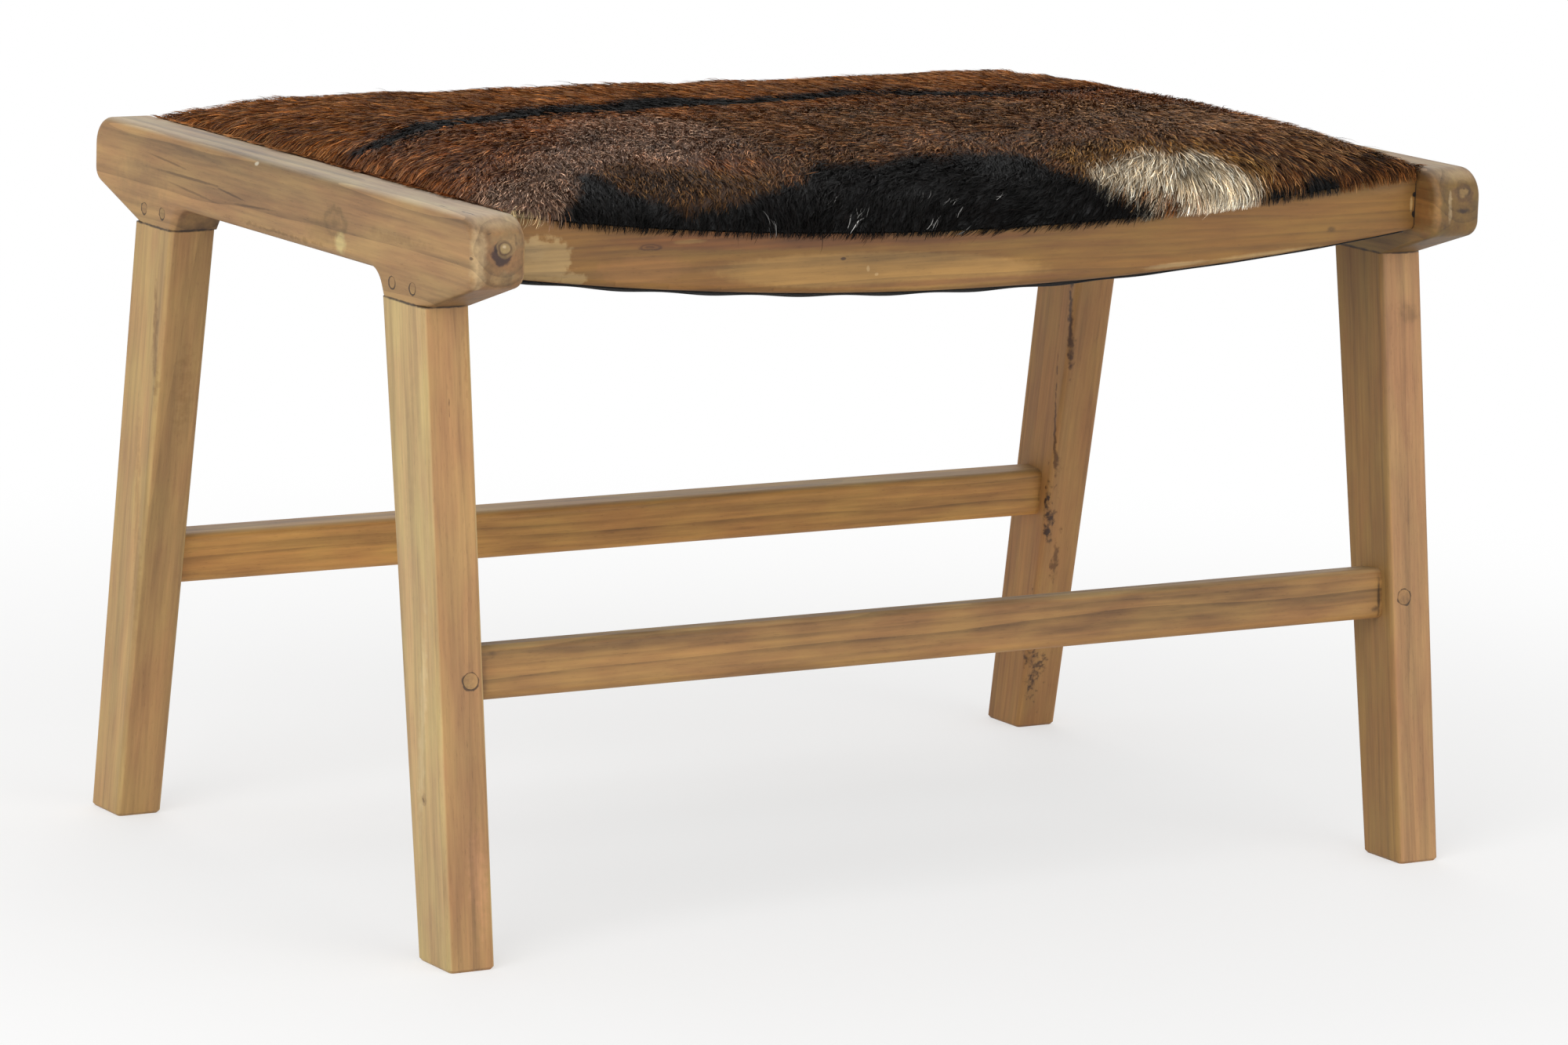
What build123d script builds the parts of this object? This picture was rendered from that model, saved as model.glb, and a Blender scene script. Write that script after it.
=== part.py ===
from build123d import *
import math
import os

os.makedirs("parts", exist_ok=True)

# A low teak stool with a hide seat. X runs along the stool, Y from front (-) to back (+),
# Z up from the floor. The origin is on the floor under the middle of the seat.

# Whole stool, in millimetres
stool_length = 600.0
stool_depth = 418.0
leg_height = 322.0
haunch_height = 50.0

# Legs: boards of even thickness, tapered and splayed in Y only
leg_thickness = 26.0
foot_inset = 7.5
foot_width = 33.6
leg_top_inset = 50.0
leg_top_width = 44.0
leg_edge_radius = 3.5
foot_ease = 1.5
leg_tenon_thickness = 12.0
leg_tenon_width = 33.0
leg_tenon_height = 28.0

# End rails: haunched boards with rounded ends that stand out past the legs
end_rail_thickness = 29.0
end_rail_height = 38.0
nose_height = 33.5
nose_top_radius = 15.0
nose_low_radius = 9.0
haunch_rise = 6.0
haunch_hollow_radius = 14.0
end_rail_edge_radius = 4.5
haunch_slant_height = 16.0

# Seat rails: even height, sawn to a sagging curve
seat_rail_thickness = 22.0
seat_rail_height = 30.0
seat_rail_inset = 19.0
seat_rail_drop = 51.0
seat_rail_sag = 18.0
seat_rail_low_radius = 3.5
seat_rail_top_radius = 1.5
seat_tenon_thickness = 14.0
seat_tenon_height = 20.0
seat_tenon_length = 20.0

# Stretchers: centred on the legs and leaning with them
stretcher_level = 141.0
stretcher_thickness = 19.8
stretcher_height = 26.8
stretcher_lean = 5.4
stretcher_edge_radius = 4.5
stretcher_tenon_thickness = 11.0
stretcher_tenon_height = 17.0
stretcher_tenon_length = 17.0

# Pegs that lock the tenons
haunch_peg_radius = 2.8
haunch_peg_spacing = 21.0
haunch_peg_length = 22.0
haunch_peg_lift = 8.0
stretcher_peg_radius = 4.0
stretcher_peg_length = 28.0
stretcher_peg_inset = 8.0

# Webbing straps and the staples that hold them
strap_count = 7
strap_width = 50.0
strap_end_gap = 42.0
strap_thickness = 2.0
strap_margin = 4.5
staple_width = 11.0
staple_wire = 1.2
staple_length = 13.0
staple_spacing = 26.0

# Corner blocks and their screws
block_leg = 42.0
block_height = 20.0
block_lift = 20.0
block_nose = 8.0
screw_head_radius = 4.0
screw_head_height = 2.4
screw_shank_radius = 2.0
screw_length = 38.0
screw_seat = 23.0
screw_inset = 13.0
screw_low = 6.0
screw_high = 14.0

# Hide and foam pad
seat_crown_rise = 17.5
seat_edge_rise = 3.2
seat_corner = 38.0
seat_drop_share = 0.19
crown_shape_share = 6.8
crown_round_share = 2.2
hide_thickness = 2.2
pad_end_setback = 5.2
hem_height = 1.2
seat_station_shares = (1.0, 0.985, 0.955, 0.91, 0.84, 0.72, 0.5, 0.25)

# Under-cloth
cloth_thickness = 1.0
cloth_margin = 4.0

# Fits
tenon_clearance = 0.2
mortise_spare = 1.0
hole_clearance = 0.1
soft_gap = 0.3
overrun = 10.0

# Sizes that follow from the ones above
half_length = stool_length / 2
half_depth = stool_depth / 2
frame_height = leg_height + haunch_height
foot_reach = half_depth - foot_inset
leg_top_reach = half_depth - leg_top_inset
seat_rail_reach = half_depth - seat_rail_inset
seat_rail_low = frame_height - seat_rail_drop
block_level = seat_rail_low + block_lift
inner_face = half_length - end_rail_thickness
leg_centre = half_length - leg_thickness / 2
leg_inner_face = half_length - leg_thickness
leg_slope = (foot_reach - leg_top_reach) / leg_height
leg_lean = math.degrees(math.atan(leg_slope))
leg_tenon_reach = leg_top_reach - leg_top_width / 2
sag_radius = (inner_face ** 2 + seat_rail_sag ** 2) / (2 * seat_rail_sag)
sag_centre = seat_rail_low + sag_radius
rail_top_radius = sag_radius - seat_rail_height
seat_rail_back = seat_rail_reach - seat_rail_thickness
seat_rail_centre = seat_rail_reach - seat_rail_thickness / 2
seat_tenon_level = seat_rail_low + seat_rail_sag + seat_rail_height / 2
strap_top = soft_gap + strap_thickness
staple_slot = staple_wire + 2 * hole_clearance
staple_reach = (staple_width - staple_wire) / 2
leg_mortise_thickness = leg_tenon_thickness + 2 * tenon_clearance
leg_mortise_width = leg_tenon_width + 2 * tenon_clearance
seat_mortise_width = seat_tenon_thickness + 2 * tenon_clearance
seat_mortise_height = seat_tenon_height + 2 * tenon_clearance
stretcher_mortise_width = stretcher_tenon_thickness + 2 * tenon_clearance
stretcher_mortise_height = stretcher_tenon_height + 2 * tenon_clearance


def leg_front(height):
    """Reach of a leg's outer face at a height above the floor."""
    return foot_reach - leg_slope * height


def leg_middle(height):
    """Reach of the middle of a leg's width at a height above the floor."""
    width = foot_width + (leg_top_width - foot_width) * height / leg_height
    return leg_front(height) - width / 2


def rail_low(x):
    """Height of the seat rails' sagging lower edge at x."""
    return sag_centre - math.sqrt(sag_radius ** 2 - x ** 2)


def rail_top(x):
    """Height of the seat rails' sagging upper edge at x."""
    return sag_centre - math.sqrt(rail_top_radius ** 2 - x ** 2)


def sagging_band(x_from, x_to, level, low, high):
    """Sketch lines of a band that follows a rail edge, between two lifts above it."""
    middle = (x_from + x_to) / 2
    bottom = ThreePointArc(
        (x_from, level(x_from) + low), (middle, level(middle) + low), (x_to, level(x_to) + low)
    )
    top = ThreePointArc(
        (x_from, level(x_from) + high), (middle, level(middle) + high), (x_to, level(x_to) + high)
    )
    Line(bottom @ 0, top @ 0)
    Line(bottom @ 1, top @ 1)


def strap_plane(x, y, lift):
    """Plane square to the seat rails' curve, lifted off their upper edge."""
    across = x / rail_top_radius
    along = math.sqrt(1 - across ** 2)
    return Plane(
        origin=(x - across * lift, y, rail_top(x) + along * lift),
        x_dir=(along, 0, across),
        z_dir=(-across, 0, along),
    )


outer_strap = inner_face - strap_end_gap - strap_width / 2
strap_pitch = 2 * outer_strap / (strap_count - 1)
strap_centres = [index * strap_pitch - outer_strap for index in range(strap_count)]
staple_places = [
    (centre + offset, end * seat_rail_centre)
    for centre in strap_centres
    for offset in (-staple_spacing / 2, staple_spacing / 2)
    for end in (-1, 1)
]
sides = (("left", -1), ("right", 1))
ends = (("front", -1), ("back", 1))


def stretcher_plane(x, end, facing):
    """Plane across a stretcher at x, leaning with the legs and facing along X."""
    lean = math.radians(stretcher_lean)
    return Plane(
        origin=(x, end * leg_middle(stretcher_level), stretcher_level),
        x_dir=(0, facing * math.cos(lean), facing * end * math.sin(lean)),
        z_dir=(facing, 0, 0),
    )


def stretcher_peg_plane(side, end):
    """Plane on a leg's outer face, where the stretcher's peg goes in."""
    slope = math.radians(leg_lean)
    across = side * (leg_inner_face + stretcher_peg_inset)
    return Plane(
        origin=(across, end * leg_front(stretcher_level), stretcher_level),
        x_dir=(1, 0, 0),
        z_dir=(0, end * math.cos(slope), math.sin(slope)),
    )


def haunch_peg_places(side):
    """Places of the four pegs in one end rail, on its outer face."""
    reach = [leg_tenon_reach - haunch_peg_spacing / 2, leg_tenon_reach + haunch_peg_spacing / 2]
    return [(end * y, leg_height + haunch_peg_lift) for end in (-1, 1) for y in reach]


def screw_planes(side, end):
    """Planes under the heads of one corner block's two screws, facing out of the wood."""
    x_seat, y_inset = side * (inner_face - screw_seat), end * (seat_rail_back - screw_inset)
    x_inset, y_seat = side * (inner_face - screw_inset), end * (seat_rail_back - screw_seat)
    high, low = block_level + screw_high, block_level + screw_low
    along = Plane(origin=(x_seat, y_inset, high), x_dir=(0, 1, 0), z_dir=(-side, 0, 0))
    across = Plane(origin=(x_inset, y_seat, low), x_dir=(1, 0, 0), z_dir=(0, -end, 0))
    return [along, across]


# End rails
for side_name, side in sides:
    with BuildPart() as end_rail:
        with BuildSketch(Plane.YZ.offset(side * half_length)):
            with BuildLine():
                haunch_inner = leg_top_reach - leg_top_width
                back_half = [
                    (half_depth, frame_height),
                    (half_depth, frame_height - nose_height),
                    (leg_top_reach, leg_height),
                    (haunch_inner, leg_height),
                    (haunch_inner - haunch_rise, frame_height - end_rail_height),
                ]
                front_half = [(-reach, height) for reach, height in reversed(back_half)]
                half_radii = [nose_top_radius, nose_low_radius, 0, 0, haunch_hollow_radius]
                FilletPolyline(*back_half, *front_half, radius=half_radii + half_radii[::-1], close=True)
            make_face()
        extrude(amount=-side * end_rail_thickness)
        # Both side faces are eased all round, but for the edges that sit on the legs
        for face in end_rail.faces().filter_by(Axis.X):
            fillet(face.edges().sort_by(Axis.Z)[2:], radius=end_rail_edge_radius)
        # The haunch thins on its inner side to the thickness of the leg
        with BuildSketch(Plane.XZ):
            with BuildLine():
                Polyline(
                    (side * inner_face, leg_height + haunch_slant_height),
                    (side * leg_inner_face, leg_height),
                    (side * leg_inner_face, leg_height - overrun),
                    (side * (inner_face - overrun), leg_height - overrun),
                    (side * (inner_face - overrun), leg_height + haunch_slant_height),
                    close=True,
                )
            make_face()
        extrude(amount=half_depth + overrun, both=True, mode=Mode.SUBTRACT)
        # Mortises for the legs
        with BuildSketch(Plane.XY.offset(leg_height)):
            with Locations((side * leg_centre, -leg_tenon_reach), (side * leg_centre, leg_tenon_reach)):
                Rectangle(leg_mortise_thickness, leg_mortise_width)
        extrude(amount=leg_tenon_height + mortise_spare, mode=Mode.SUBTRACT)
        # Mortises for the seat rails
        with BuildSketch(Plane.YZ.offset(side * inner_face)):
            with Locations((-seat_rail_centre, seat_tenon_level), (seat_rail_centre, seat_tenon_level)):
                Rectangle(seat_mortise_width, seat_mortise_height)
        extrude(amount=side * (seat_tenon_length + mortise_spare), mode=Mode.SUBTRACT)
        # Holes for the haunch pegs and for the corner blocks' screws
        with BuildSketch(Plane.YZ.offset(side * half_length)):
            with Locations(*haunch_peg_places(side)):
                Circle(haunch_peg_radius + hole_clearance)
        extrude(amount=-side * haunch_peg_length, mode=Mode.SUBTRACT)
        for end_name, end in ends:
            with BuildSketch(screw_planes(side, end)[0]):
                Circle(screw_shank_radius + hole_clearance)
            extrude(amount=-(screw_length + mortise_spare), mode=Mode.SUBTRACT)
    end_rail.part.label = "end_rail_" + side_name
    export_step(end_rail.part, "parts/end_rail_" + side_name + ".step")

# Legs
for side_name, side in sides:
    for end_name, end in ends:
        with BuildPart() as leg:
            with BuildSketch(Plane.YZ.offset(side * half_length)):
                with BuildLine():
                    Polyline(
                        (end * foot_reach, 0),
                        (end * leg_top_reach, leg_height),
                        (end * (leg_top_reach - leg_top_width), leg_height),
                        (end * (foot_reach - foot_width), 0),
                        close=True,
                    )
                make_face()
            extrude(amount=-side * leg_thickness)
            long_edges = leg.edges().filter_by(lambda edge: edge.bounding_box().size.Z > leg_height / 2)
            fillet(long_edges, radius=leg_edge_radius)
            chamfer(leg.faces().sort_by(Axis.Z)[0].edges(), length=foot_ease)
            # Tenon into the haunch
            with BuildSketch(Plane.XY.offset(leg_height)):
                with Locations((side * leg_centre, end * leg_tenon_reach)):
                    Rectangle(leg_tenon_thickness, leg_tenon_width)
            extrude(amount=leg_tenon_height)
            # Mortise for the stretcher
            with BuildSketch(stretcher_plane(side * leg_inner_face, end, side)):
                Rectangle(stretcher_mortise_width, stretcher_mortise_height)
            extrude(amount=stretcher_tenon_length + mortise_spare, mode=Mode.SUBTRACT)
            # Peg holes through both tenons
            with BuildSketch(stretcher_peg_plane(side, end)):
                Circle(stretcher_peg_radius + hole_clearance)
            extrude(amount=-stretcher_peg_length, mode=Mode.SUBTRACT)
            with BuildSketch(Plane.YZ.offset(side * half_length)):
                with Locations(*haunch_peg_places(side)):
                    Circle(haunch_peg_radius + hole_clearance)
            extrude(amount=-side * haunch_peg_length, mode=Mode.SUBTRACT)
        leg.part.label = "leg_" + end_name + "_" + side_name
        export_step(leg.part, "parts/leg_" + end_name + "_" + side_name + ".step")

# Seat rails
for end_name, end in ends:
    with BuildPart() as seat_rail:
        # One section, swung about the sag's centre and cut off square at the end rails
        swing = math.asin(half_length / rail_top_radius)
        tangent = (math.cos(swing), 0, -math.sin(swing))
        with BuildSketch(Plane(origin=(0, 0, sag_centre), x_dir=(0, 1, 0), z_dir=tangent)) as section:
            with Locations((end * seat_rail_centre, seat_rail_height / 2 - sag_radius)):
                Rectangle(seat_rail_thickness, seat_rail_height)
            corners = section.vertices().sort_by(Axis.Y)
            fillet(corners[:2], radius=seat_rail_low_radius)
            fillet(corners[2:], radius=seat_rail_top_radius)
        revolve(axis=Axis((0, 0, sag_centre), (0, -1, 0)), revolution_arc=math.degrees(2 * swing))
        split(bisect_by=Plane.YZ.offset(-inner_face), keep=Keep.TOP)
        split(bisect_by=Plane.YZ.offset(inner_face), keep=Keep.BOTTOM)
        # Tenons into the end rails
        for side_name, side in sides:
            with BuildSketch(Plane.YZ.offset(side * inner_face)):
                with Locations((end * seat_rail_centre, seat_tenon_level)):
                    Rectangle(seat_tenon_thickness, seat_tenon_height)
            extrude(amount=side * seat_tenon_length)
            # Hole for the corner block's screw
            with BuildSketch(screw_planes(side, end)[1]):
                Circle(screw_shank_radius + hole_clearance)
            extrude(amount=-(screw_length + mortise_spare), mode=Mode.SUBTRACT)
        # Slots for the legs of the webbing's staples
        with BuildSketch(*[strap_plane(x, y, strap_top) for x, y in staple_places if y * end > 0]):
            with Locations((-staple_reach, 0), (staple_reach, 0)):
                Rectangle(staple_slot, staple_slot)
        extrude(amount=-(staple_length + mortise_spare), mode=Mode.SUBTRACT)
    seat_rail.part.label = "seat_rail_" + end_name
    export_step(seat_rail.part, "parts/seat_rail_" + end_name + ".step")

# Stretchers
for end_name, end in ends:
    with BuildPart() as stretcher:
        with BuildSketch(stretcher_plane(-leg_inner_face, end, 1)):
            RectangleRounded(stretcher_thickness, stretcher_height, stretcher_edge_radius)
        extrude(amount=2 * leg_inner_face)
        for side_name, side in sides:
            with BuildSketch(stretcher_plane(side * leg_inner_face, end, side)):
                Rectangle(stretcher_tenon_thickness, stretcher_tenon_height)
            extrude(amount=stretcher_tenon_length)
            with BuildSketch(stretcher_peg_plane(side, end)):
                Circle(stretcher_peg_radius + hole_clearance)
            extrude(amount=-stretcher_peg_length, mode=Mode.SUBTRACT)
    stretcher.part.label = "stretcher_" + end_name
    export_step(stretcher.part, "parts/stretcher_" + end_name + ".step")

# Pegs of the haunches
with BuildPart() as haunch_pegs:
    for side_name, side in sides:
        with BuildSketch(Plane.YZ.offset(side * half_length)):
            with Locations(*haunch_peg_places(side)):
                Circle(haunch_peg_radius)
        extrude(amount=-side * haunch_peg_length)
haunch_pegs.part.label = "haunch_pegs"
export_step(haunch_pegs.part, "parts/haunch_pegs.step")

# Pegs of the stretchers
with BuildPart() as stretcher_pegs:
    for side_name, side in sides:
        for end_name, end in ends:
            with BuildSketch(stretcher_peg_plane(side, end)):
                Circle(stretcher_peg_radius)
            extrude(amount=-stretcher_peg_length)
stretcher_pegs.part.label = "stretcher_pegs"
export_step(stretcher_pegs.part, "parts/stretcher_pegs.step")

# Corner blocks
for side_name, side in sides:
    for end_name, end in ends:
        with BuildPart() as corner_block:
            with BuildSketch(Plane.XY.offset(block_level)):
                with BuildLine():
                    Polyline(
                        (side * inner_face, end * seat_rail_back),
                        (side * (inner_face - block_leg), end * seat_rail_back),
                        (side * (inner_face - block_leg), end * (seat_rail_back - block_nose)),
                        (side * (inner_face - block_nose), end * (seat_rail_back - block_leg)),
                        (side * inner_face, end * (seat_rail_back - block_leg)),
                        close=True,
                    )
                make_face()
            extrude(amount=block_height)
            for plane in screw_planes(side, end):
                with BuildSketch(plane):
                    Circle(screw_head_radius + hole_clearance)
                extrude(amount=block_leg, mode=Mode.SUBTRACT)
                with BuildSketch(plane):
                    Circle(screw_shank_radius + hole_clearance)
                extrude(amount=-block_leg, mode=Mode.SUBTRACT)
        corner_block.part.label = "corner_block_" + end_name + "_" + side_name
        export_step(corner_block.part, "parts/corner_block_" + end_name + "_" + side_name + ".step")

# Screws of the corner blocks
with BuildPart() as block_screws:
    for side_name, side in sides:
        for end_name, end in ends:
            for plane in screw_planes(side, end):
                with BuildSketch(plane):
                    Circle(screw_head_radius)
                extrude(amount=screw_head_height)
                with BuildSketch(plane):
                    Circle(screw_shank_radius)
                extrude(amount=-screw_length)
block_screws.part.label = "block_screws"
export_step(block_screws.part, "parts/block_screws.step")

# Webbing straps, from seat rail to seat rail
for index, centre in enumerate(strap_centres):
    with BuildPart() as strap:
        with BuildSketch(Plane.XZ):
            with BuildLine():
                sagging_band(
                    centre - strap_width / 2,
                    centre + strap_width / 2,
                    rail_top,
                    soft_gap,
                    strap_top,
                )
            make_face()
        extrude(amount=seat_rail_reach - strap_margin, both=True)
        # The staples' crowns press a groove into the band, and their legs go through it
        own_places = [(x, y) for x, y in staple_places if abs(x - centre) < strap_width / 2]
        groove = strap_top - staple_wire - hole_clearance
        with BuildSketch(*[strap_plane(x, y, groove) for x, y in own_places]):
            Rectangle(staple_width + 2 * hole_clearance, staple_slot)
        extrude(amount=overrun, mode=Mode.SUBTRACT)
        with BuildSketch(*[strap_plane(x, y, 0) for x, y in own_places]):
            with Locations((-staple_reach, 0), (staple_reach, 0)):
                Rectangle(staple_slot, staple_slot)
        extrude(amount=overrun, mode=Mode.SUBTRACT)
    strap.part.label = "webbing_strap_" + str(index + 1)
    export_step(strap.part, "parts/webbing_strap_" + str(index + 1) + ".step")

# Staples of the webbing
with BuildPart() as webbing_staples:
    with BuildSketch(*[strap_plane(x, y, strap_top) for x, y in staple_places]):
        Rectangle(staple_width, staple_wire)
    extrude(amount=-staple_wire)
    with BuildSketch(*[strap_plane(x, y, strap_top) for x, y in staple_places]):
        with Locations((-staple_reach, 0), (staple_reach, 0)):
            Rectangle(staple_wire, staple_wire)
    extrude(amount=-staple_length)
webbing_staples.part.label = "webbing_staples"
export_step(webbing_staples.part, "parts/webbing_staples.step")


def seat_top(share):
    """Height of the seat's ridge at a share of its half length."""
    swell = (1 - abs(share) ** crown_shape_share) ** (1 / crown_round_share)
    return rail_top(inner_face) + seat_edge_rise + seat_crown_rise * swell


def seat_outline(share, reach, inset, lift, depth):
    """Sketch lines across the seat: a flat base, short upright hems, two rolled edges and the crown."""
    spring = rail_top(share * seat_half_length) + lift + hem_height
    top = seat_top(share) - inset
    fall = seat_drop_share * (top - spring)
    half_crown = reach - seat_corner
    slope = 2 * math.atan(fall / half_crown)
    crown = ThreePointArc((-half_crown, top - fall), (0, top), (half_crown, top - fall))
    right = TangentArc(crown @ 1, (reach, spring), tangent=(math.cos(slope), -math.sin(slope)))
    left = TangentArc(crown @ 0, (-reach, spring), tangent=(-math.cos(slope), -math.sin(slope)))
    Polyline(left @ 1, (-reach, spring - depth), (reach, spring - depth), right @ 1)


def seat_stations(setback):
    """Shares of the half length where the seat is drawn, ending at a setback from its ends."""
    limit = 1 - setback / seat_half_length
    positive = [limit] + [share for share in seat_station_shares if share < limit]
    return [-share for share in positive] + [0.0] + positive[::-1]


seat_half_length = inner_face - soft_gap
pad_lift = strap_top + soft_gap
pad_inset = hide_thickness + soft_gap

# Foam pad, the hide's own form drawn in by its thickness and cut level with the straps
with BuildPart() as seat_pad:
    for share in seat_stations(pad_end_setback):
        with BuildSketch(Plane.YZ.offset(share * seat_half_length)):
            with BuildLine():
                seat_outline(share, seat_rail_reach - pad_inset, pad_inset, soft_gap, hem_height)
            make_face()
    loft()
    with BuildSketch(Plane.XZ):
        with BuildLine():
            sagging_band(-inner_face, inner_face, rail_top, -overrun, pad_lift)
        make_face()
    extrude(amount=seat_rail_reach, both=True, mode=Mode.SUBTRACT)
seat_pad.part.label = "seat_pad"
export_step(seat_pad.part, "parts/seat_pad.step")

# Hide, a shell over the pad that comes down to the rails
with BuildPart() as hide_cover:
    for share in seat_stations(0):
        with BuildSketch(Plane.YZ.offset(share * seat_half_length)):
            with BuildLine():
                seat_outline(share, seat_rail_reach, 0, soft_gap, hem_height)
            make_face()
    loft()
    for share in seat_stations(pad_end_setback - soft_gap):
        with BuildSketch(Plane.YZ.offset(share * seat_half_length)):
            with BuildLine():
                cavity_reach = seat_rail_reach - hide_thickness
                seat_outline(share, cavity_reach, hide_thickness, soft_gap, hem_height + overrun)
            make_face()
    loft(mode=Mode.SUBTRACT)
hide_cover.part.label = "hide_cover"
export_step(hide_cover.part, "parts/hide_cover.step")

# Under-cloth
with BuildPart() as under_cloth:
    with BuildSketch(Plane.XZ):
        with BuildLine():
            reach = inner_face - soft_gap
            sagging_band(-reach, reach, rail_low, -soft_gap - cloth_thickness, -soft_gap)
        make_face()
    extrude(amount=seat_rail_reach - cloth_margin, both=True)
under_cloth.part.label = "under_cloth"
export_step(under_cloth.part, "parts/under_cloth.step")
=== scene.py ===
"""The looks of a low teak stool whose crowned seat is covered in hair-on goat hide.

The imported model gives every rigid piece. This script finishes the timber, weaves the webbing, upholsters the
seat, grows the hide's coat hair by hair and sets the stool in a plain pale studio.
"""
import logging
import math
from dataclasses import dataclass
from enum import Enum
from typing import Any, Sequence, Union

import bpy
import numpy as np
from mathutils import Matrix, Vector


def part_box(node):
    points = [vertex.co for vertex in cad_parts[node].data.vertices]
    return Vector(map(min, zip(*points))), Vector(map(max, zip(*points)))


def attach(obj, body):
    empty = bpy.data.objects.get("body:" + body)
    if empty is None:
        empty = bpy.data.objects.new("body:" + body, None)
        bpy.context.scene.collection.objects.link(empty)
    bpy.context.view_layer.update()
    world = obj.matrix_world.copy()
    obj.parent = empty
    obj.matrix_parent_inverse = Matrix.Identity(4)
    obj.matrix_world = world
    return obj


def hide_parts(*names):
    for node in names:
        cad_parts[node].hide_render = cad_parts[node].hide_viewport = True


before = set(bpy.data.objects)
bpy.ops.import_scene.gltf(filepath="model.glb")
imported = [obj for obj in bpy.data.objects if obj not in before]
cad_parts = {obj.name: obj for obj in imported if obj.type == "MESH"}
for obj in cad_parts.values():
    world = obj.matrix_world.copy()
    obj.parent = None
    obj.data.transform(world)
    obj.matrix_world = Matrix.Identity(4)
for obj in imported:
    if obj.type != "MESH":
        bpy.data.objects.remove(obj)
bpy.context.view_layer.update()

LOG = logging.getLogger("stool")
MM = 0.001
SEED = 31
TINY = 1e-9
# The height of a seat rail's board, and how far it sags between the end rails, in mm.
RAIL_HEIGHT, RAIL_SAG = 30.0, 18.27
# How far the lattice of the coat's noises reaches along and over the hide, and where its first point lies, in mm.
LATTICE_REACH, LATTICE_START = (700, 500), (320.0, 230.0)
# A grid's size less this is the last place that still lies within its last cell.
LAST_CELL = 1.001
Point = tuple[float, float, float]
Pair = tuple[float, float]


def linear(code: str, gain: float = 1.0) -> tuple[float, float, float, float]:
    """Turns an sRGB colour, #rrggbb, to linear red, green, blue and an opacity of 1, brighter by the gain."""
    shares = [int(code[i : i + 2], 16) / 255 for i in (1, 3, 5)]
    levels = [s / 12.92 if s <= 0.04045 else ((s + 0.055) / 1.055) ** 2.4 for s in shares]
    return (*[level * gain for level in levels], 1.0)


def rgb(code: str) -> np.ndarray:
    """Gives a hex colour's linear red, green and blue."""
    return np.array(linear(code)[:3])


def unit(vectors: np.ndarray) -> np.ndarray:
    """Brings vectors to a length of 1."""
    return vectors / np.maximum(np.linalg.norm(vectors, axis=-1, keepdims=True), TINY)


class Graph:
    """The node tree of one material or of the world, to which nodes are added one by one."""

    def __init__(self, owner: Union[bpy.types.Material, bpy.types.World]) -> None:
        """Clears the owner's node tree."""
        owner.use_nodes = True
        self.tree = owner.node_tree
        self.tree.nodes.clear()

    def add(self, kind: str, inputs: dict[Any, Any], out: Union[int, str] = 0, **settings: Any) -> Any:
        """Adds a node with its settings, values and links.

        Args:
            kind: the node's type, without ShaderNode in front.
            inputs: what goes into each socket, by name or number: another node's output, or a value.
            out: the output that the caller goes on with.
            **settings: the node's own settings.

        Returns:
            The chosen output, or None where the node has none.
        """
        node = self.tree.nodes.new("ShaderNode" + kind)
        for name, value in settings.items():
            setattr(node, name, value)
        for key, value in inputs.items():
            if isinstance(value, bpy.types.NodeSocket):
                self.tree.links.new(value, node.inputs[key])
            else:
                node.inputs[key].default_value = value
        return node.outputs[out] if len(node.outputs) else None

    def metres(self) -> Any:
        """Gives the place in the piece, in metres."""
        return self.add("TexCoord", {}, "Object")

    def math(self, operation: str, *values: Any) -> Any:
        """Works out a number from numbers."""
        return self.add("Math", dict(enumerate(values)), operation=operation)

    def vector(self, operation: str, *values: Any) -> Any:
        """Works out a vector from vectors, or a vector's length."""
        out = "Value" if operation == "LENGTH" else "Vector"
        return self.add("VectorMath", dict(enumerate(values)), out, operation=operation)

    def scale(self, vector: Any, factor: Any) -> Any:
        """Multiplies a vector or a colour by a number."""
        return self.add("VectorMath", {0: vector, "Scale": factor}, operation="SCALE")

    def mix(self, share: Any, first: Any, second: Any) -> Any:
        """Mixes two colours by the second's share."""
        return self.add("Mix", {0: share, 6: first, 7: second}, 2, data_type="RGBA")

    def remap(self, value: Any, given: Pair = (0.0, 1.0), wanted: Pair = (0.0, 1.0), smooth: bool = False) -> Any:
        """Carries a number from its given range to the wanted one, and keeps it there."""
        names = ("Value", "From Min", "From Max", "To Min", "To Max")
        kind = "SMOOTHSTEP" if smooth else "LINEAR"
        return self.add("MapRange", dict(zip(names, (value, *given, *wanted))), interpolation_type=kind)

    def noise(self, spot: Any, detail: float, scale: float = 1.0, out: Union[int, str] = 0) -> Any:
        """Adds a noise from 0 to 1."""
        return self.add("TexNoise", {"Vector": spot, "Scale": scale, "Detail": detail}, out)

    def relief(self, height: Any, strength: float, depth: float) -> Any:
        """Turns a height to a relief so many mm deep."""
        return self.add("Bump", {"Height": height, "Strength": strength, "Distance": depth * MM})


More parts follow.
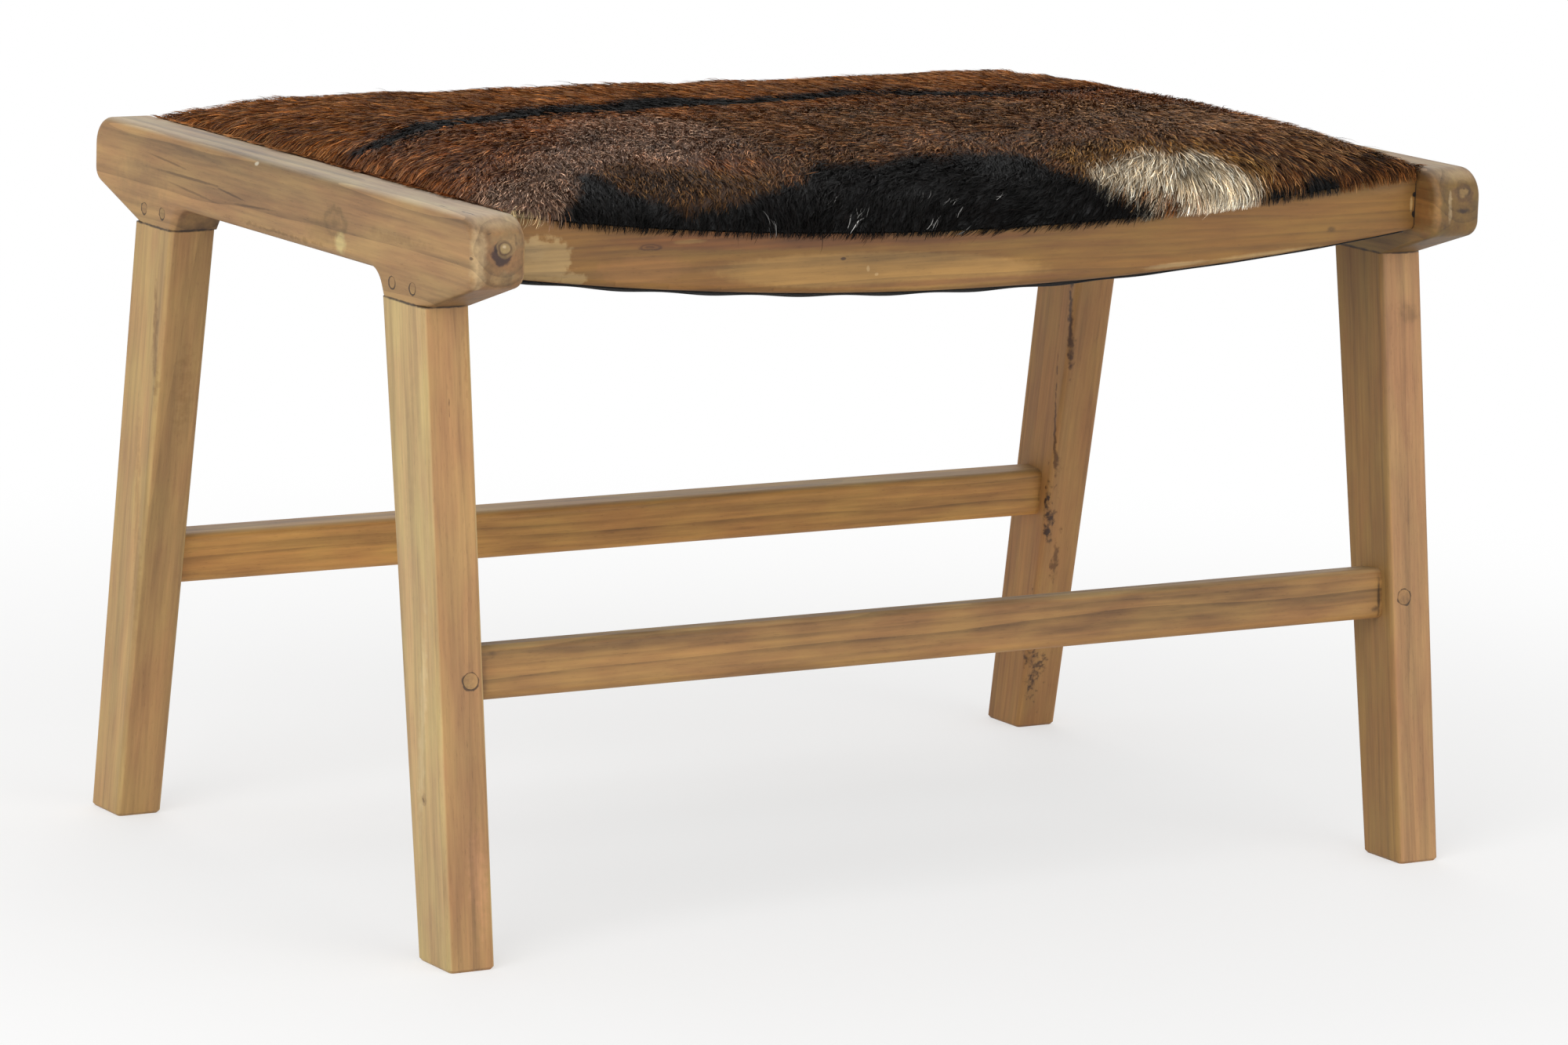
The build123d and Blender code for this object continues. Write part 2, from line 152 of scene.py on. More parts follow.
@dataclass(frozen=True)
class Mark:
    """A knot, stain, scar, patch or painted highlight at one place in a board, in mm.

    Attributes:
        place: its middle.
        reach: how far it goes from there along X, Y and Z.
        colour: the colour that it turns the wood to.
        depth: how much of that colour shows at its middle.
        fade: the share of its reach over which it fades out.
        ragged: how far its edge wanders, as a share of its reach.
        rings: how many growth rings it shows, as a knot does.
        tilt: how far it is turned about Y, then X, in degrees.
    """

    place: Point
    reach: Point
    colour: str
    depth: float = 0.8
    fade: float = 0.6
    ragged: float = 0.5
    rings: float = 0.0
    tilt: Pair = (0.0, 0.0)

    between_rings = 0.35

    @classmethod
    def table(cls, text: str) -> tuple["Mark", ...]:
        """Reads marks off a table that has a line for each, with the fields in their order.

        Args:
            text: the table. A line may leave out its last fields.

        Returns:
            The marks.
        """
        marks = []
        for words in (line.split() for line in text.strip().splitlines()):
            place, reach, rest = ([float(word) for word in part] for part in (words[:3], words[3:6], words[7:]))
            marks.append(cls(tuple(place), tuple(reach), words[6], *rest[:4], tilt=tuple(rest[4:]) or (0.0, 0.0)))
        return tuple(marks)

    def lay(self, graph: Graph, spot: Any, wander: Any, level: Any, colour: Any) -> Any:
        """Lays the mark over the wood's colour.

        Args:
            graph: the wood's nodes.
            spot: the place in the wood, in mm.
            wander: a noise, from -1 to 1, that makes the mark's edge uneven.
            level: how light the grain is there, which also shows in the mark.
            colour: the wood's colour so far.

        Returns:
            The colour with the mark in it.
        """
        turn = (math.radians(self.tilt[1]), math.radians(self.tilt[0]), 0.0)
        values = {"Vector": spot, "Location": self.place, "Rotation": turn, "Scale": self.reach}
        own = graph.add("Mapping", values, vector_type="TEXTURE")
        distance = graph.vector("LENGTH", graph.vector("MULTIPLY_ADD", wander, (self.ragged,) * 3, own))
        cover = graph.remap(distance, (1 - self.fade, 1.0), (self.depth, 0.0), smooth=True)
        if self.rings:
            wave = graph.math("SINE", graph.math("MULTIPLY", distance, self.rings * math.tau))
            cover = graph.math("MULTIPLY", cover, graph.remap(wave, (-1.0, 1.0), (self.between_rings, 1.0)))
        return graph.mix(cover, colour, graph.scale(linear(self.colour)[:3], level))


@dataclass(frozen=True)
class Figure:
    """One part of a wood's figure: a noise whose spots are drawn out along the grain.

    Attributes:
        length: how long its spots are, in mm.
        width: how wide they are, in mm.
        detail: how much finer it gets within a spot.
        shift: what tells it from the board's other noises.
        share: how much it lightens or darkens the wood.
        rough: how strong its finer parts are.
    """

    length: float
    width: float
    detail: float
    shift: float = 0.0
    share: float = 0.0
    rough: float = 0.55

    def add(self, graph: Graph, grain: Any, seed: float, out: Union[int, str] = 0) -> Any:
        """Adds the noise, from 0 to 1, at the place along and across the grain, in mm."""
        spots = graph.vector("MULTIPLY", grain, (1 / self.length, 1 / self.width, 1 / self.width))
        values = {"Vector": spots, "W": seed + self.shift, "Scale": 1.0, "Detail": self.detail,
                  "Roughness": self.rough}
        return graph.add("TexNoise", values, out, noise_dimensions="4D")


@dataclass(frozen=True)
class Finish:
    """The finish of a piece: one procedural material.

    Attributes:
        name: the real material's common name.
    """

    name: str

    def build(self) -> bpy.types.Material:
        """Makes the material."""
        material = bpy.data.materials.new(self.name)
        graph = Graph(material)
        graph.add("OutputMaterial", {"Surface": graph.add("BsdfPrincipled", self.look(graph))})
        return material

    def look(self, graph: Graph) -> dict[str, Any]:
        """Adds the finish's own nodes, and gives what goes into each socket of its shader."""
        raise NotImplementedError


@dataclass(frozen=True)
class Timber(Finish):
    """Sawn and sanded timber with a thin oil finish: long fine grain, soft rings, pores and a low sheen.

    Attributes:
        side: the colour of the faces that look along X, which holds the painted light and shade of those faces.
        front: the colour of the faces that look along Y, which holds the painted light and shade of those faces.
        top: the greyed colour of the faces that look up: partly wear, and partly painted light from above, which makes
            them lighter.
        along: the direction of the grain.
        pith: a point on the line that the growth rings go round, in mm.
        seed: a number that gives this board its own grain.
        ring: the width of a growth ring in mm.
        contrast: how strongly rings and streaks show.
        marks: the knots, stains and scars of this board.
    """

    side: str
    front: str
    top: str
    along: Point
    pith: Point
    seed: float
    ring: float = 4.2
    contrast: float = 1.0
    marks: Sequence[Mark] = ()

    # A fibre is about 0.03 mm wide and a pore 0.2 mm: both are drawn coarser, as a camera sees them.
    streaks = Figure(170.0, 8.0, 2.0, 0.0, 0.74)
    broad = Figure(240.0, 36.0, 2.0, 7.0, 0.56)
    clouds = Figure(46.0, 13.0, 3.0, 11.0, 0.60)
    fibres = Figure(34.0, 1.5, 5.0, 3.0, 0.66)
    pores = Figure(3.5, 0.4, 0.0, 5.0, -0.14)
    pore_edge = (0.66, 0.80)
    # The growth rings wander by so many mm, and darken by these shares as a whole and in their late wood.
    drift = Figure(240.0, 36.0, 2.0, rough=0.5)
    drift_reach = 7.0
    ring_share, late_share = -0.10, -0.15
    late_edge = (0.45, 0.97)
    # How far a face has to look along X, or up, to take the side's or the top's colour, with its painted light and
    # shade.
    side_edge, worn_edge = (0.35, 0.8), (0.45, 0.9)
    # Arrises between the faces along X and along Y are lightened by this share: partly wear, partly a painted
    # highlight on their rounded edges.
    arris_share = 0.12
    level = 1.05
    # Between these values of the clouds the wood turns from a pink to a straw cast.
    cast_edge = (0.35, 0.65)
    pink, straw = (1.05, 0.97, 0.95, 1.0), (0.97, 1.02, 0.93, 1.0)
    # The edges of the marks wander over spots of about 5 mm.
    wander_scale = 0.22
    gloss = (0.50, 0.66)
    # How deep the pores are beside the fibres, how strongly both show as relief, and how deep they are in mm.
    pore_depth, relief = -1.2, (0.35, 0.12)
    oil_ior = 1.48

    def look(self, graph: Graph) -> dict[str, Any]:
        """Lays the figure over the colours of the board's faces, and the marks over both."""
        spot = graph.scale(graph.metres(), 1 / MM)
        turn = Vector(self.along).to_track_quat("X", "Z").to_euler()
        grain = graph.add("Mapping", {"Vector": spot, "Location": self.pith, "Rotation": turn}, vector_type="TEXTURE")
        tone, arris = self._tone(graph)
        rings, late = self._rings(graph, grain)
        figures = (self.streaks, self.broad, self.clouds, self.fibres, self.pores)
        streaks, broad, clouds, fibres, pores = (figure.add(graph, grain, self.seed) for figure in figures)
        pores = graph.remap(pores, self.pore_edge, smooth=True)
        level = self.level
        for value, share, middle in (
            (streaks, self.streaks.share * self.contrast, 0.5), (broad, self.broad.share * self.contrast, 0.5),
            (clouds, self.clouds.share * self.contrast, 0.5), (fibres, self.fibres.share, 0.5),
            (rings, self.ring_share * self.contrast, 0.0), (late, self.late_share * self.contrast, 0.0),
            (pores, self.pores.share, 0.0), (arris, self.arris_share, 0.0),
        ):
            level = graph.math("ADD", level, graph.math("MULTIPLY_ADD", value, share, -middle * share))
        cast = graph.mix(graph.remap(clouds, self.cast_edge), self.pink, self.straw)
        colour = graph.scale(graph.vector("MULTIPLY", tone, cast), level)
        wander = graph.noise(spot, 3.0, self.wander_scale, "Color")
        wander = graph.scale(graph.vector("SUBTRACT", wander, (0.5, 0.5, 0.5)), 2.0)
        for mark in self.marks:
            colour = mark.lay(graph, spot, wander, level, colour)
        height = graph.math("MULTIPLY_ADD", pores, self.pore_depth, fibres)
        return {"Base Color": colour, "Roughness": graph.remap(streaks, wanted=self.gloss), "IOR": self.oil_ior,
                "Normal": graph.relief(height, *self.relief)}

    def _rings(self, graph: Graph, grain: Any) -> tuple[Any, Any]:
        """Adds the rings round the pith: how dark each is as a whole, and its thin dark late wood, from 0 to 1."""
        drift = graph.vector("SUBTRACT", self.drift.add(graph, grain, self.seed, "Color"), (0.5, 0.5, 0.5))
        reach = 2 * self.drift_reach
        bent = graph.vector("MULTIPLY_ADD", drift, (0.0, reach, reach), grain)
        radius = graph.vector("LENGTH", graph.vector("MULTIPLY", bent, (0.0, 1.0, 1.0)))
        count = graph.math("DIVIDE", radius, self.ring)
        own = graph.add("TexWhiteNoise", {"W": graph.math("FLOOR", count)}, noise_dimensions="1D")
        late = graph.remap(graph.math("FRACT", count), self.late_edge, smooth=True)
        return own, graph.math("MULTIPLY", late, own)

    def _tone(self, graph: Graph) -> tuple[Any, Any]:
        """Gives each face its colour by the way it looks, which paints in the light and shade on the faces along X and
        Y and, on the faces that look up, wear and painted light from above; and how much of an arris it is.
        """
        normal = graph.add("NewGeometry", {}, "Normal")
        x_out = graph.add("SeparateXYZ", {"Vector": graph.vector("ABSOLUTE", normal)}, "X")
        up = graph.add("SeparateXYZ", {"Vector": normal}, "Z")
        front = graph.remap(x_out, self.side_edge, (1.0, 0.0), smooth=True)
        tone = graph.mix(front, linear(self.side), linear(self.front))
        tone = graph.mix(graph.remap(up, self.worn_edge, smooth=True), tone, linear(self.top))
        turned = graph.math("ABSOLUTE", graph.math("SUBTRACT", front, 0.5))
        return tone, graph.math("MULTIPLY_ADD", turned, -2.0, 1.0)


@dataclass(frozen=True)
class ZincSteel(Finish):
    """Zinc-plated steel wire and screws: a dull bright metal, mottled as plating is.

    Attributes:
        colour: its middle colour.
        spot: the size of the mottle's spots, in mm.
    """

    name: str = "zinc plated steel"
    colour: str = "#9c9c98"
    spot: float = 0.8

    def look(self, graph: Graph) -> dict[str, Any]:
        """Mottles the plating's colour and gloss."""
        mottle = graph.noise(graph.metres(), 3.0, 1 / (self.spot * MM))
        colour = graph.mix(mottle, linear(self.colour, 0.75), linear(self.colour, 1.2))
        return {"Base Color": colour, "Roughness": graph.remap(mottle, wanted=(0.28, 0.5)), "Metallic": 1.0}


@dataclass(frozen=True)
class Cloth(Finish):
    """Plain woven cloth: two sets of threads that cross, matt, with a soft sheen.

    Attributes:
        thread: the colour of the threads' crests.
        gap: the colour between the threads, darker as painted shade between them.
        pitch: the distance from thread to thread, in mm.
    """

    thread: str
    gap: str
    pitch: float

    def look(self, graph: Graph) -> dict[str, Any]:
        """Crosses two waves for the weave. A wave texture has 20 / tau waves to a metre at a scale of 1."""
        metres = graph.metres()
        values = {"Vector": metres, "Scale": math.tau / (20 * self.pitch * MM), "Distortion": 0.4}
        warp, weft = (graph.add("TexWave", values, "Fac", bands_direction=axis) for axis in "XY")
        weave = graph.math("MULTIPLY", warp, weft)
        slub = graph.noise(metres, 3.0, 1 / (6 * self.pitch * MM))
        # The darker colour between the threads is painted shade.
        colour = graph.mix(graph.math("MULTIPLY", weave, slub), linear(self.gap), linear(self.thread))
        relief = graph.relief(weave, 0.6, 0.2 * self.pitch)
        return {"Base Color": colour, "Roughness": 0.85, "Normal": relief, "Sheen Weight": 0.25}


@dataclass(frozen=True)
class Foam(Finish):
    """Open-cell polyurethane foam: pale, matt, with small round cells.

    Attributes:
        wall: the colour of the cells' walls.
        cell: the colour inside the cells, darker as painted shade in their hollows.
        pitch: the distance from cell to cell, in mm.
    """

    name: str = "polyurethane foam"
    wall: str = "#ded2b2"
    cell: str = "#a89a78"
    pitch: float = 1.6

    def look(self, graph: Graph) -> dict[str, Any]:
        """Draws the cells in colour and relief."""
        cells = graph.add("TexVoronoi", {"Vector": graph.metres(), "Scale": 1 / (self.pitch * MM)})
        # The darker colour inside the cells is painted shade in their hollows.
        colour = graph.mix(cells, linear(self.cell), linear(self.wall))
        return {"Base Color": colour, "Roughness": 0.95, "Normal": graph.relief(cells, 0.5, 0.2)}


@dataclass(frozen=True)
class GoatHide(Finish):
    """Dressed goat skin under the coat: it takes the coat's colour, darker as painted shade of the hair deep in the
    coat, with fine hair lines.

    Attributes:
        line: the width of a hair line in mm. It stands for several hairs.
        line_length: its length, in mm.
        darker: how much of the coat's brightness it has; the darkening is painted shade.
    """

    name: str = "goat skin"
    line: float = 0.6
    line_length: float = 9.0
    darker: float = 0.55

    def look(self, graph: Graph) -> dict[str, Any]:
        """Draws hair lines over the colour of the coat that grows there."""
        coat = graph.add("Attribute", {}, "Color", attribute_name="coat")
        sizes = (1 / (self.line_length * MM), 1 / (self.line * MM), 1 / (self.line * MM))
        lines = graph.noise(graph.vector("MULTIPLY", graph.metres(), sizes), 2.0)
        colour = graph.scale(coat, graph.remap(lines, wanted=(0.4 * self.darker, 1.6 * self.darker)))
        return {"Base Color": colour, "Roughness": 0.7, "Normal": graph.relief(lines, 0.7, 0.5)}


@dataclass(frozen=True)
class GoatHair(Finish):
    """Goat hair: dark at the root, paler and brighter at the tip, with a dull silky gloss. The darkness at the root
    and the brightness at the tip are partly its own colour, partly painted shade deep in the coat and painted light on
    its top.

    Attributes:
        roughness: how dull its gloss is.
        keratin_ior: the refractive index of hair.
        gloss: how much of a plain surface's gloss it keeps.
    """

    name: str = "goat hair"
    roughness: float = 0.55
    keratin_ior: float = 1.55
    gloss: float = 0.07

    def look(self, graph: Graph) -> dict[str, Any]:
        """Takes the colour of each hair, from root to tip, off its mesh."""
        coat = graph.add("Attribute", {}, "Color", attribute_name="coat")
        return {"Base Color": coat, "Roughness": self.roughness, "IOR": self.keratin_ior,
                "Specular IOR Level": self.gloss}


def place_mesh(name: str, mesh: bpy.types.Mesh, material: bpy.types.Material) -> bpy.types.Object:
    """Puts a mesh into the scene as a smooth piece that rides on the stool.

    Args:
        name: the piece's name.
        mesh: its mesh.
        material: its finish.

    Returns:
        The new object.
    """
    mesh.validate()
    mesh.shade_smooth()
    mesh.materials.append(material)
    piece = bpy.data.objects.new(name, mesh)
    bpy.context.scene.collection.objects.link(piece)
    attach(piece, "root")
    LOG.info("%s: %d faces", name, len(mesh.polygons))
    return piece


def new_mesh(name: str, points: np.ndarray, faces: Sequence[Sequence[int]], material: bpy.types.Material) -> bpy.types.Object:
    """Makes a piece from its corners in mm, one row each, and the corners of each face."""
    mesh = bpy.data.meshes.new(name)
    mesh.from_pydata((np.asarray(points) * MM).tolist(), [], faces)
    return place_mesh(name, mesh, material)


def grid_faces(rows: int, columns: int, start: int = 0, flip: bool = False) -> list[list[int]]:
    """Lists the quads of a grid of points, the first of which has the number start; flip turns them over."""
    first = (start + np.arange(rows - 1)[:, None] * columns + np.arange(columns - 1)).reshape(-1, 1)
    faces = first + np.array([0, columns, columns + 1, 1])
    return (faces[:, ::-1] if flip else faces).tolist()


def slab(name: str, x: np.ndarray, y: np.ndarray, over: np.ndarray, under: np.ndarray,
         material: bpy.types.Material) -> bpy.types.Object:
    """Makes a closed piece between two grids of heights, over and under the places x and y, all in mm."""
    rows, columns = x.shape
    count = rows * columns
    points = np.concatenate([np.stack([x, y, z], axis=2).reshape(-1, 3) for z in (over, under)])
    faces = grid_faces(rows, columns) + grid_faces(rows, columns, count, flip=True)
    rim = [row * columns for row in range(rows)] + [(rows - 1) * columns + column for column in range(1, columns)]
    rim += [row * columns + columns - 1 for row in range(rows - 2, -1, -1)] + list(range(columns - 2, 0, -1))
    faces += [(start, start + count, end + count, end) for start, end in zip(rim, rim[1:] + rim[:1])]
    return new_mesh(name, points, faces, material)


@dataclass(frozen=True)
class SeatForm:
    """The crowned seat: it sags with the rails lengthwise, and rolls down to them front and back. In mm.

    Attributes:
        half_length: from the middle to the end rails.
        half_depth: from the middle to the seat rails' outer faces.
        rail_mid: the height of a seat rail's top edge at its middle.
        rail_end: that height where it meets the end rails.
        crown_rise: how far the seat's middle stands above its ends.
        edge_rise: how far its ends stand above the rails.
        lie: how far the skin lies below the outline of the smooth seat, which leaves room for the coat.
        end_share: how square the crown is towards the ends.
        end_round: how round its shoulders are there.
        side_share: how square the crown is towards the front and the back.
        side_round: how round its shoulders are there.
        rim_gap: how far the skin's front and back rims stand above the rails.
    """

    half_length: float
    half_depth: float
    rail_mid: float
    rail_end: float
    crown_rise: float = 17.5
    edge_rise: float = 3.2
    lie: float = 1.0
    end_share: float = 6.8
    end_round: float = 2.2
    side_share: float = 3.57
    side_round: float = 1.93
    rim_gap: float = 0.8

    @classmethod
    def from_frame(cls) -> "SeatForm":
        """Reads the seat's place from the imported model."""
        low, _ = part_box("seat_rail_front")
        rail_mid = low[2] / MM + RAIL_HEIGHT
        return cls(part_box("end_rail_right")[0][0] / MM, -low[1] / MM, rail_mid, rail_mid + RAIL_SAG)

    def arc(self, drop: float = 0.0) -> tuple[float, float]:
        """Gives the radius of the seat rails' sagging curve so many mm below their tops, and its centre's height."""
        rise = self.rail_end - self.rail_mid
        radius = (self.half_length**2 + rise**2) / (2 * rise)
        return radius + drop, self.rail_mid + radius

    def rail_top(self, x: np.ndarray) -> np.ndarray:
        """Gives the height of the seat rails' top edge at x."""
        radius, centre = self.arc()
        return centre - np.sqrt(radius**2 - np.minimum(np.abs(x), self.half_length) ** 2)

    def crown(self, x: np.ndarray) -> np.ndarray:
        """Gives how high the skin stands above the rails along the seat's middle at x."""
        share = np.clip(np.abs(x) / self.half_length, 0, 1)
        lift = self.crown_rise * (1 - share**self.end_share) ** (1 / self.end_round)
        return self.rail_end + self.edge_rise + lift - self.lie - self.rail_top(x)

    def height(self, x: np.ndarray, y: np.ndarray) -> np.ndarray:
        """Gives the height of the skin at x and y."""
        share = np.clip(np.abs(y) / self.half_depth, 0, 1)
        roll = (1 - share**self.side_share) ** (1 / self.side_round)
        return self.rail_top(x) + self.rim_gap + (self.crown(x) - self.rim_gap) * roll


def smooth_noise(flat: np.ndarray, cell: float, number: int) -> np.ndarray:
    """Gives each place on the flat hide a smooth random value from -1 to 1, in spots so many mm wide."""
    lattice = np.random.default_rng(SEED + number).uniform(-1, 1, [int(reach / cell) + 3 for reach in LATTICE_REACH])
    spots = (flat + LATTICE_START) / cell
    corner = np.floor(spots).astype(int)
    share = spots - corner
    share = share * share * (3 - 2 * share)
    total = np.zeros(len(flat))
    for i in (0, 1):
        for j in (0, 1):
            weight = np.abs(1 - i - share[:, 0]) * np.abs(1 - j - share[:, 1])
            total += weight * lattice[corner[:, 0] + i, corner[:, 1] + j]
    return total


@dataclass(frozen=True)
class Patch:
    """A patch of the coat that has its own colour, as an outline on the flat hide.

    Attributes:
        outline: its corners, in mm: along the stool, and over the hide from its middle.
        dark: the colour of its darker hairs.
        light: the colour of its paler hairs.
        tip: the colour that many of its hairs have at their tips.
        edge: how wide the zone is in which its hairs mix with those around it, in mm.
        length: how long its hairs are beside the coat's usual length.
        wander: how far its edge wanders, in mm.
        tipped: how strongly the tips differ.
    """

    outline: Sequence[Pair]
    dark: str
    light: str
    tip: str
    edge: float = 5.0
    length: float = 1.0
    wander: float = 4.0
    tipped: float = 0.6

    def inside(self, flat: np.ndarray) -> np.ndarray:
        """Measures how far places on the flat hide lie inside the outline, in mm, negative outside it."""
        corners = np.array(self.outline, dtype=float)
        nearest = np.full(len(flat), np.inf)
        crossings = np.zeros(len(flat), dtype=bool)
        for start, end in zip(corners, np.roll(corners, -1, axis=0)):
            run = end - start
            share = np.clip((flat - start) @ run / (run @ run), 0, 1)
            gap = flat - start - share[:, None] * run
            nearest = np.minimum(nearest, np.hypot(gap[:, 0], gap[:, 1]))
            spans = (start[1] > flat[:, 1]) != (end[1] > flat[:, 1])
            with np.errstate(divide="ignore", invalid="ignore"):
                meets = start[0] + (flat[:, 1] - start[1]) / run[1] * run[0]
            crossings ^= spans & (flat[:, 0] < meets)
        return np.where(crossings, nearest, -nearest)


def noises(flat: np.ndarray, layers: Sequence[tuple[float, float, int]]) -> np.ndarray:
    """Adds up smooth noises. Each layer gives the size of its spots in mm, its strength and its number."""
    return sum(most * smooth_noise(flat, cell, number) for cell, most, number in layers)


def between(dark: str, light: str, share: np.ndarray) -> np.ndarray:
    """Mixes two colours, one row for each share."""
    return rgb(dark) + (rgb(light) - rgb(dark)) * share[:, None]


class Pattern:
    """The coat's drawing on the flat hide, in mm: along the stool, and over the hide from its middle.

    Attributes:
        spine: the line of the dark stripe along the back.
        spine_width: how far the stripe reaches to each side of it, at places along the stool.
        spine_colours: the stripe's darker and paler hairs, and their tips.
        comb: places, and the way that the hair lies there, in degrees from the stool's length to its back.
        grounds: the coat's broad colours, the later ones over the earlier ones.
        patches: the patches on them.
        flecks: painted glints: places where light glints on the dark hair, painted as pale hairs.
        fleck_colour: the painted colour of such a glinting hair.
    """

    spine = ((-275, -22), (-256, -24), (-230, -18), (-194, -13), (-171, -3), (-149, 5), (-125, 7), (-109, 2),
             (-86, 8), (-68, 20), (-48, 22), (-17, 14), (8, 15), (35, 20), (54, 29), (79, 21), (103, 11), (137, 2),
             (158, 4), (181, 11), (196, 18), (275, 26))
    spine_width = ((-275, 0), (-270, 2), (-256, 7), (-235, 11), (-194, 14), (-150, 11), (-109, 14), (-75, 21),
                   (-40, 16), (-17, 12), (54, 13), (80, 8), (103, 11), (150, 7), (196, 4), (214, 0), (275, 0))
    spine_colours = ("#020202", "#0b0a09", "#2e2c2a")
    comb = ((-250, -60, -150), (-250, -150, -128), (-150, -60, -155), (-150, -110, -135), (-180, -155, -112),
            (-110, -150, -114), (-165, -185, -108), (-225, -185, -104), (-60, -100, -150), (0, -60, -160),
            (-60, -180, -140), (0, -175, -142), (50, -180, -146), (70, -100, -145), (86, -178, -136),
            (104, -175, -124), (124, -172, -110), (146, -176, -98), (168, -165, -86), (215, -165, -80),
            (255, -175, -72), (150, -80, -118), (205, -80, -92), (255, -100, -74), (110, -30, -150), (220, -20, -110),
            (-250, 60, 152), (-100, 100, 156), (0, 90, 160), (100, 90, 150), (230, 80, 120), (-230, 180, 126),
            (0, 185, 122), (230, 185, 108))
    grounds = (
        Patch(((-400, -400), (-400, 400), (400, 400), (400, -400)), "#471f07", "#914f17", "#bc8f5e", 30.0),
        Patch(((-300, -260), (-300, -20), (-150, -5), (60, -30), (60, -260)), "#4b2008", "#9b5622", "#c59668", 22.0),
        Patch(((-96, -34), (60, -10), (120, -30), (130, -110), (140, -150), (60, -190), (-90, -200), (-116, -176)),
               "#301808", "#875026", "#bf976d", 26.0),
        Patch(((110, -24), (150, -30), (205, -60), (262, -120), (262, -150), (200, -150), (150, -138), (110, -110)),
               "#3e2211", "#956741", "#d7a572", 18.0),
        Patch(((176, -146), (206, -140), (300, -110), (300, -260), (170, -260), (166, -172)), "#271105", "#72401b",
               "#c39360", 16.0, 1.2, 6.0, 0.9),
        Patch(((222, -184), (300, -170), (300, -260), (206, -260), (208, -192)), "#1d0b02", "#5b3214", "#9d6a38",
               16.0, 1.2),
        Patch(((70, -150), (104, -140), (136, -136), (166, -150), (184, -176), (180, -200), (70, -190)), "#4a2a0d",
               "#99652a", "#dcac65", 10.0, 1.25),
    )
    patches = (
        Patch(((-290, -165), (-262, -150), (-238, -140), (-195, -90), (-150, -36), (-112, -28), (-94, -60),
               (-98, -108), (-112, -126), (-136, -143), (-172, -146), (-200, -153), (-214, -170), (-230, -192),
               (-290, -204)), "#4c2f20", "#ba8d6f", "#f4d3b6", 18.0, 0.75),
        Patch(((-203, -152), (-178, -143), (-140, -145), (-108, -158), (-104, -176), (-120, -196), (-142, -202),
               (-158, -205), (-174, -203), (-184, -190), (-196, -178)), "#2c1609", "#684221", "#a37844", 8.0, 0.8),
        Patch(((-248, -260), (-244, -199), (-236, -188), (-228, -176), (-220, -164), (-209, -153), (-202, -162),
               (-197, -170), (-191, -180), (-183, -184), (-177, -187), (-168, -190), (-159, -188), (-144, -185),
               (-128, -180), (-118, -176), (-107, -174), (-94, -166), (-80, -153), (-69, -150), (-58, -152),
               (-49, -151), (-37, -150), (-27, -146), (-12, -144), (8, -142), (38, -144), (50, -148), (58, -156),
               (66, -170), (76, -184), (92, -195), (116, -201), (140, -204), (156, -206), (156, -260)), "#010100",
               "#060302", "#120d0b", 5.0, 1.0, 3.5, 0.35),
        Patch(((86, -186), (82, -177), (92, -167), (108, -160), (125, -154), (143, -158), (154, -164), (165, -176),
               (174, -192), (172, -203), (156, -240), (140, -240), (130, -203), (112, -198), (97, -193)), "#765931",
               "#edd4ac", "#fffff0", 9.0, 1.7, 5.0, 1.0),
        Patch(((168, -199), (178, -194), (196, -196), (208, -191), (220, -192), (222, -240), (200, -240),
               (176, -240)), "#040404", "#131211", "#2c2a29", 3.0, 0.8, 2.0),
        Patch(((-290, -186), (-272, -188), (-256, -195), (-248, -200), (-248, -204), (-290, -204)), "#7d6847",
               "#bba578", "#dcc9a0", 4.0, 0.7, 2.0),
    )
    flecks = ((-123, -177), (-128, -180), (-83, -184), (-77, -181), (-122, -196), (-125, -201), (-69, -193),
              (-76, -199), (-28, -185), (-15, -188), (17, -186), (-224, -200), (-219, -201), (-175, -203),
              (-169, -203), (-162, -204), (-31, -200), (-14, -196), (-14, -204), (-180, -22), (-217, -24),
              (-186, -20), (-80, 2), (24, 10))
    fleck_colour = "#8f8d8a"

    # How much the hairs' shade follows spots of 18 and 5 mm, and how much one hair differs from the next.
    shade_spots = ((18.0, 0.30), (5.0, 0.26))
    shade_spread = 0.28
    # The edges of patches and stripe wander over spots of 19 and 7 mm.
    drifts = ((19.0, 1.0, 3), (7.0, 0.7, 4))
    # How far single hairs of a patch grow past its edge, as a share of the zone in which they mix.
    edge_spread = 0.3
    # How many of the hairs have pale tips, and how pale the darkest of those are.
    pale_power, pale_least = 2.2, 0.35
    # How far the stripe's edge wanders, how far single hairs cross it, over what width it fades, and from what half
    # width down it fades as a whole, in mm.
    spine_wander, spine_spread, spine_fade, spine_thin = 1.6, 0.45, 1.4, 2.0
    spine_tip = 0.3
    # Over how many mm the length changes at a patch's edge, how far the lengths of neighbouring hairs differ, and
    # how short and long they can be.
    length_fade, length_spread, length_range = 10.0, 0.2, (0.5, 1.6)
    # How close the comb's places are followed, and how far the hair swirls over spots of 40 and 13 mm.
    comb_reach, comb_power = 18.0, -1.6
    swirls = ((40.0, 0.26, 5), (13.0, 0.22, 6))
    # How strongly the hair curls at least and in the middle, where that is, and how far it reaches.
    curl_least, curl_most, curl_middle, curl_reach = 0.16, 0.55, (10, -70), (150, 60)

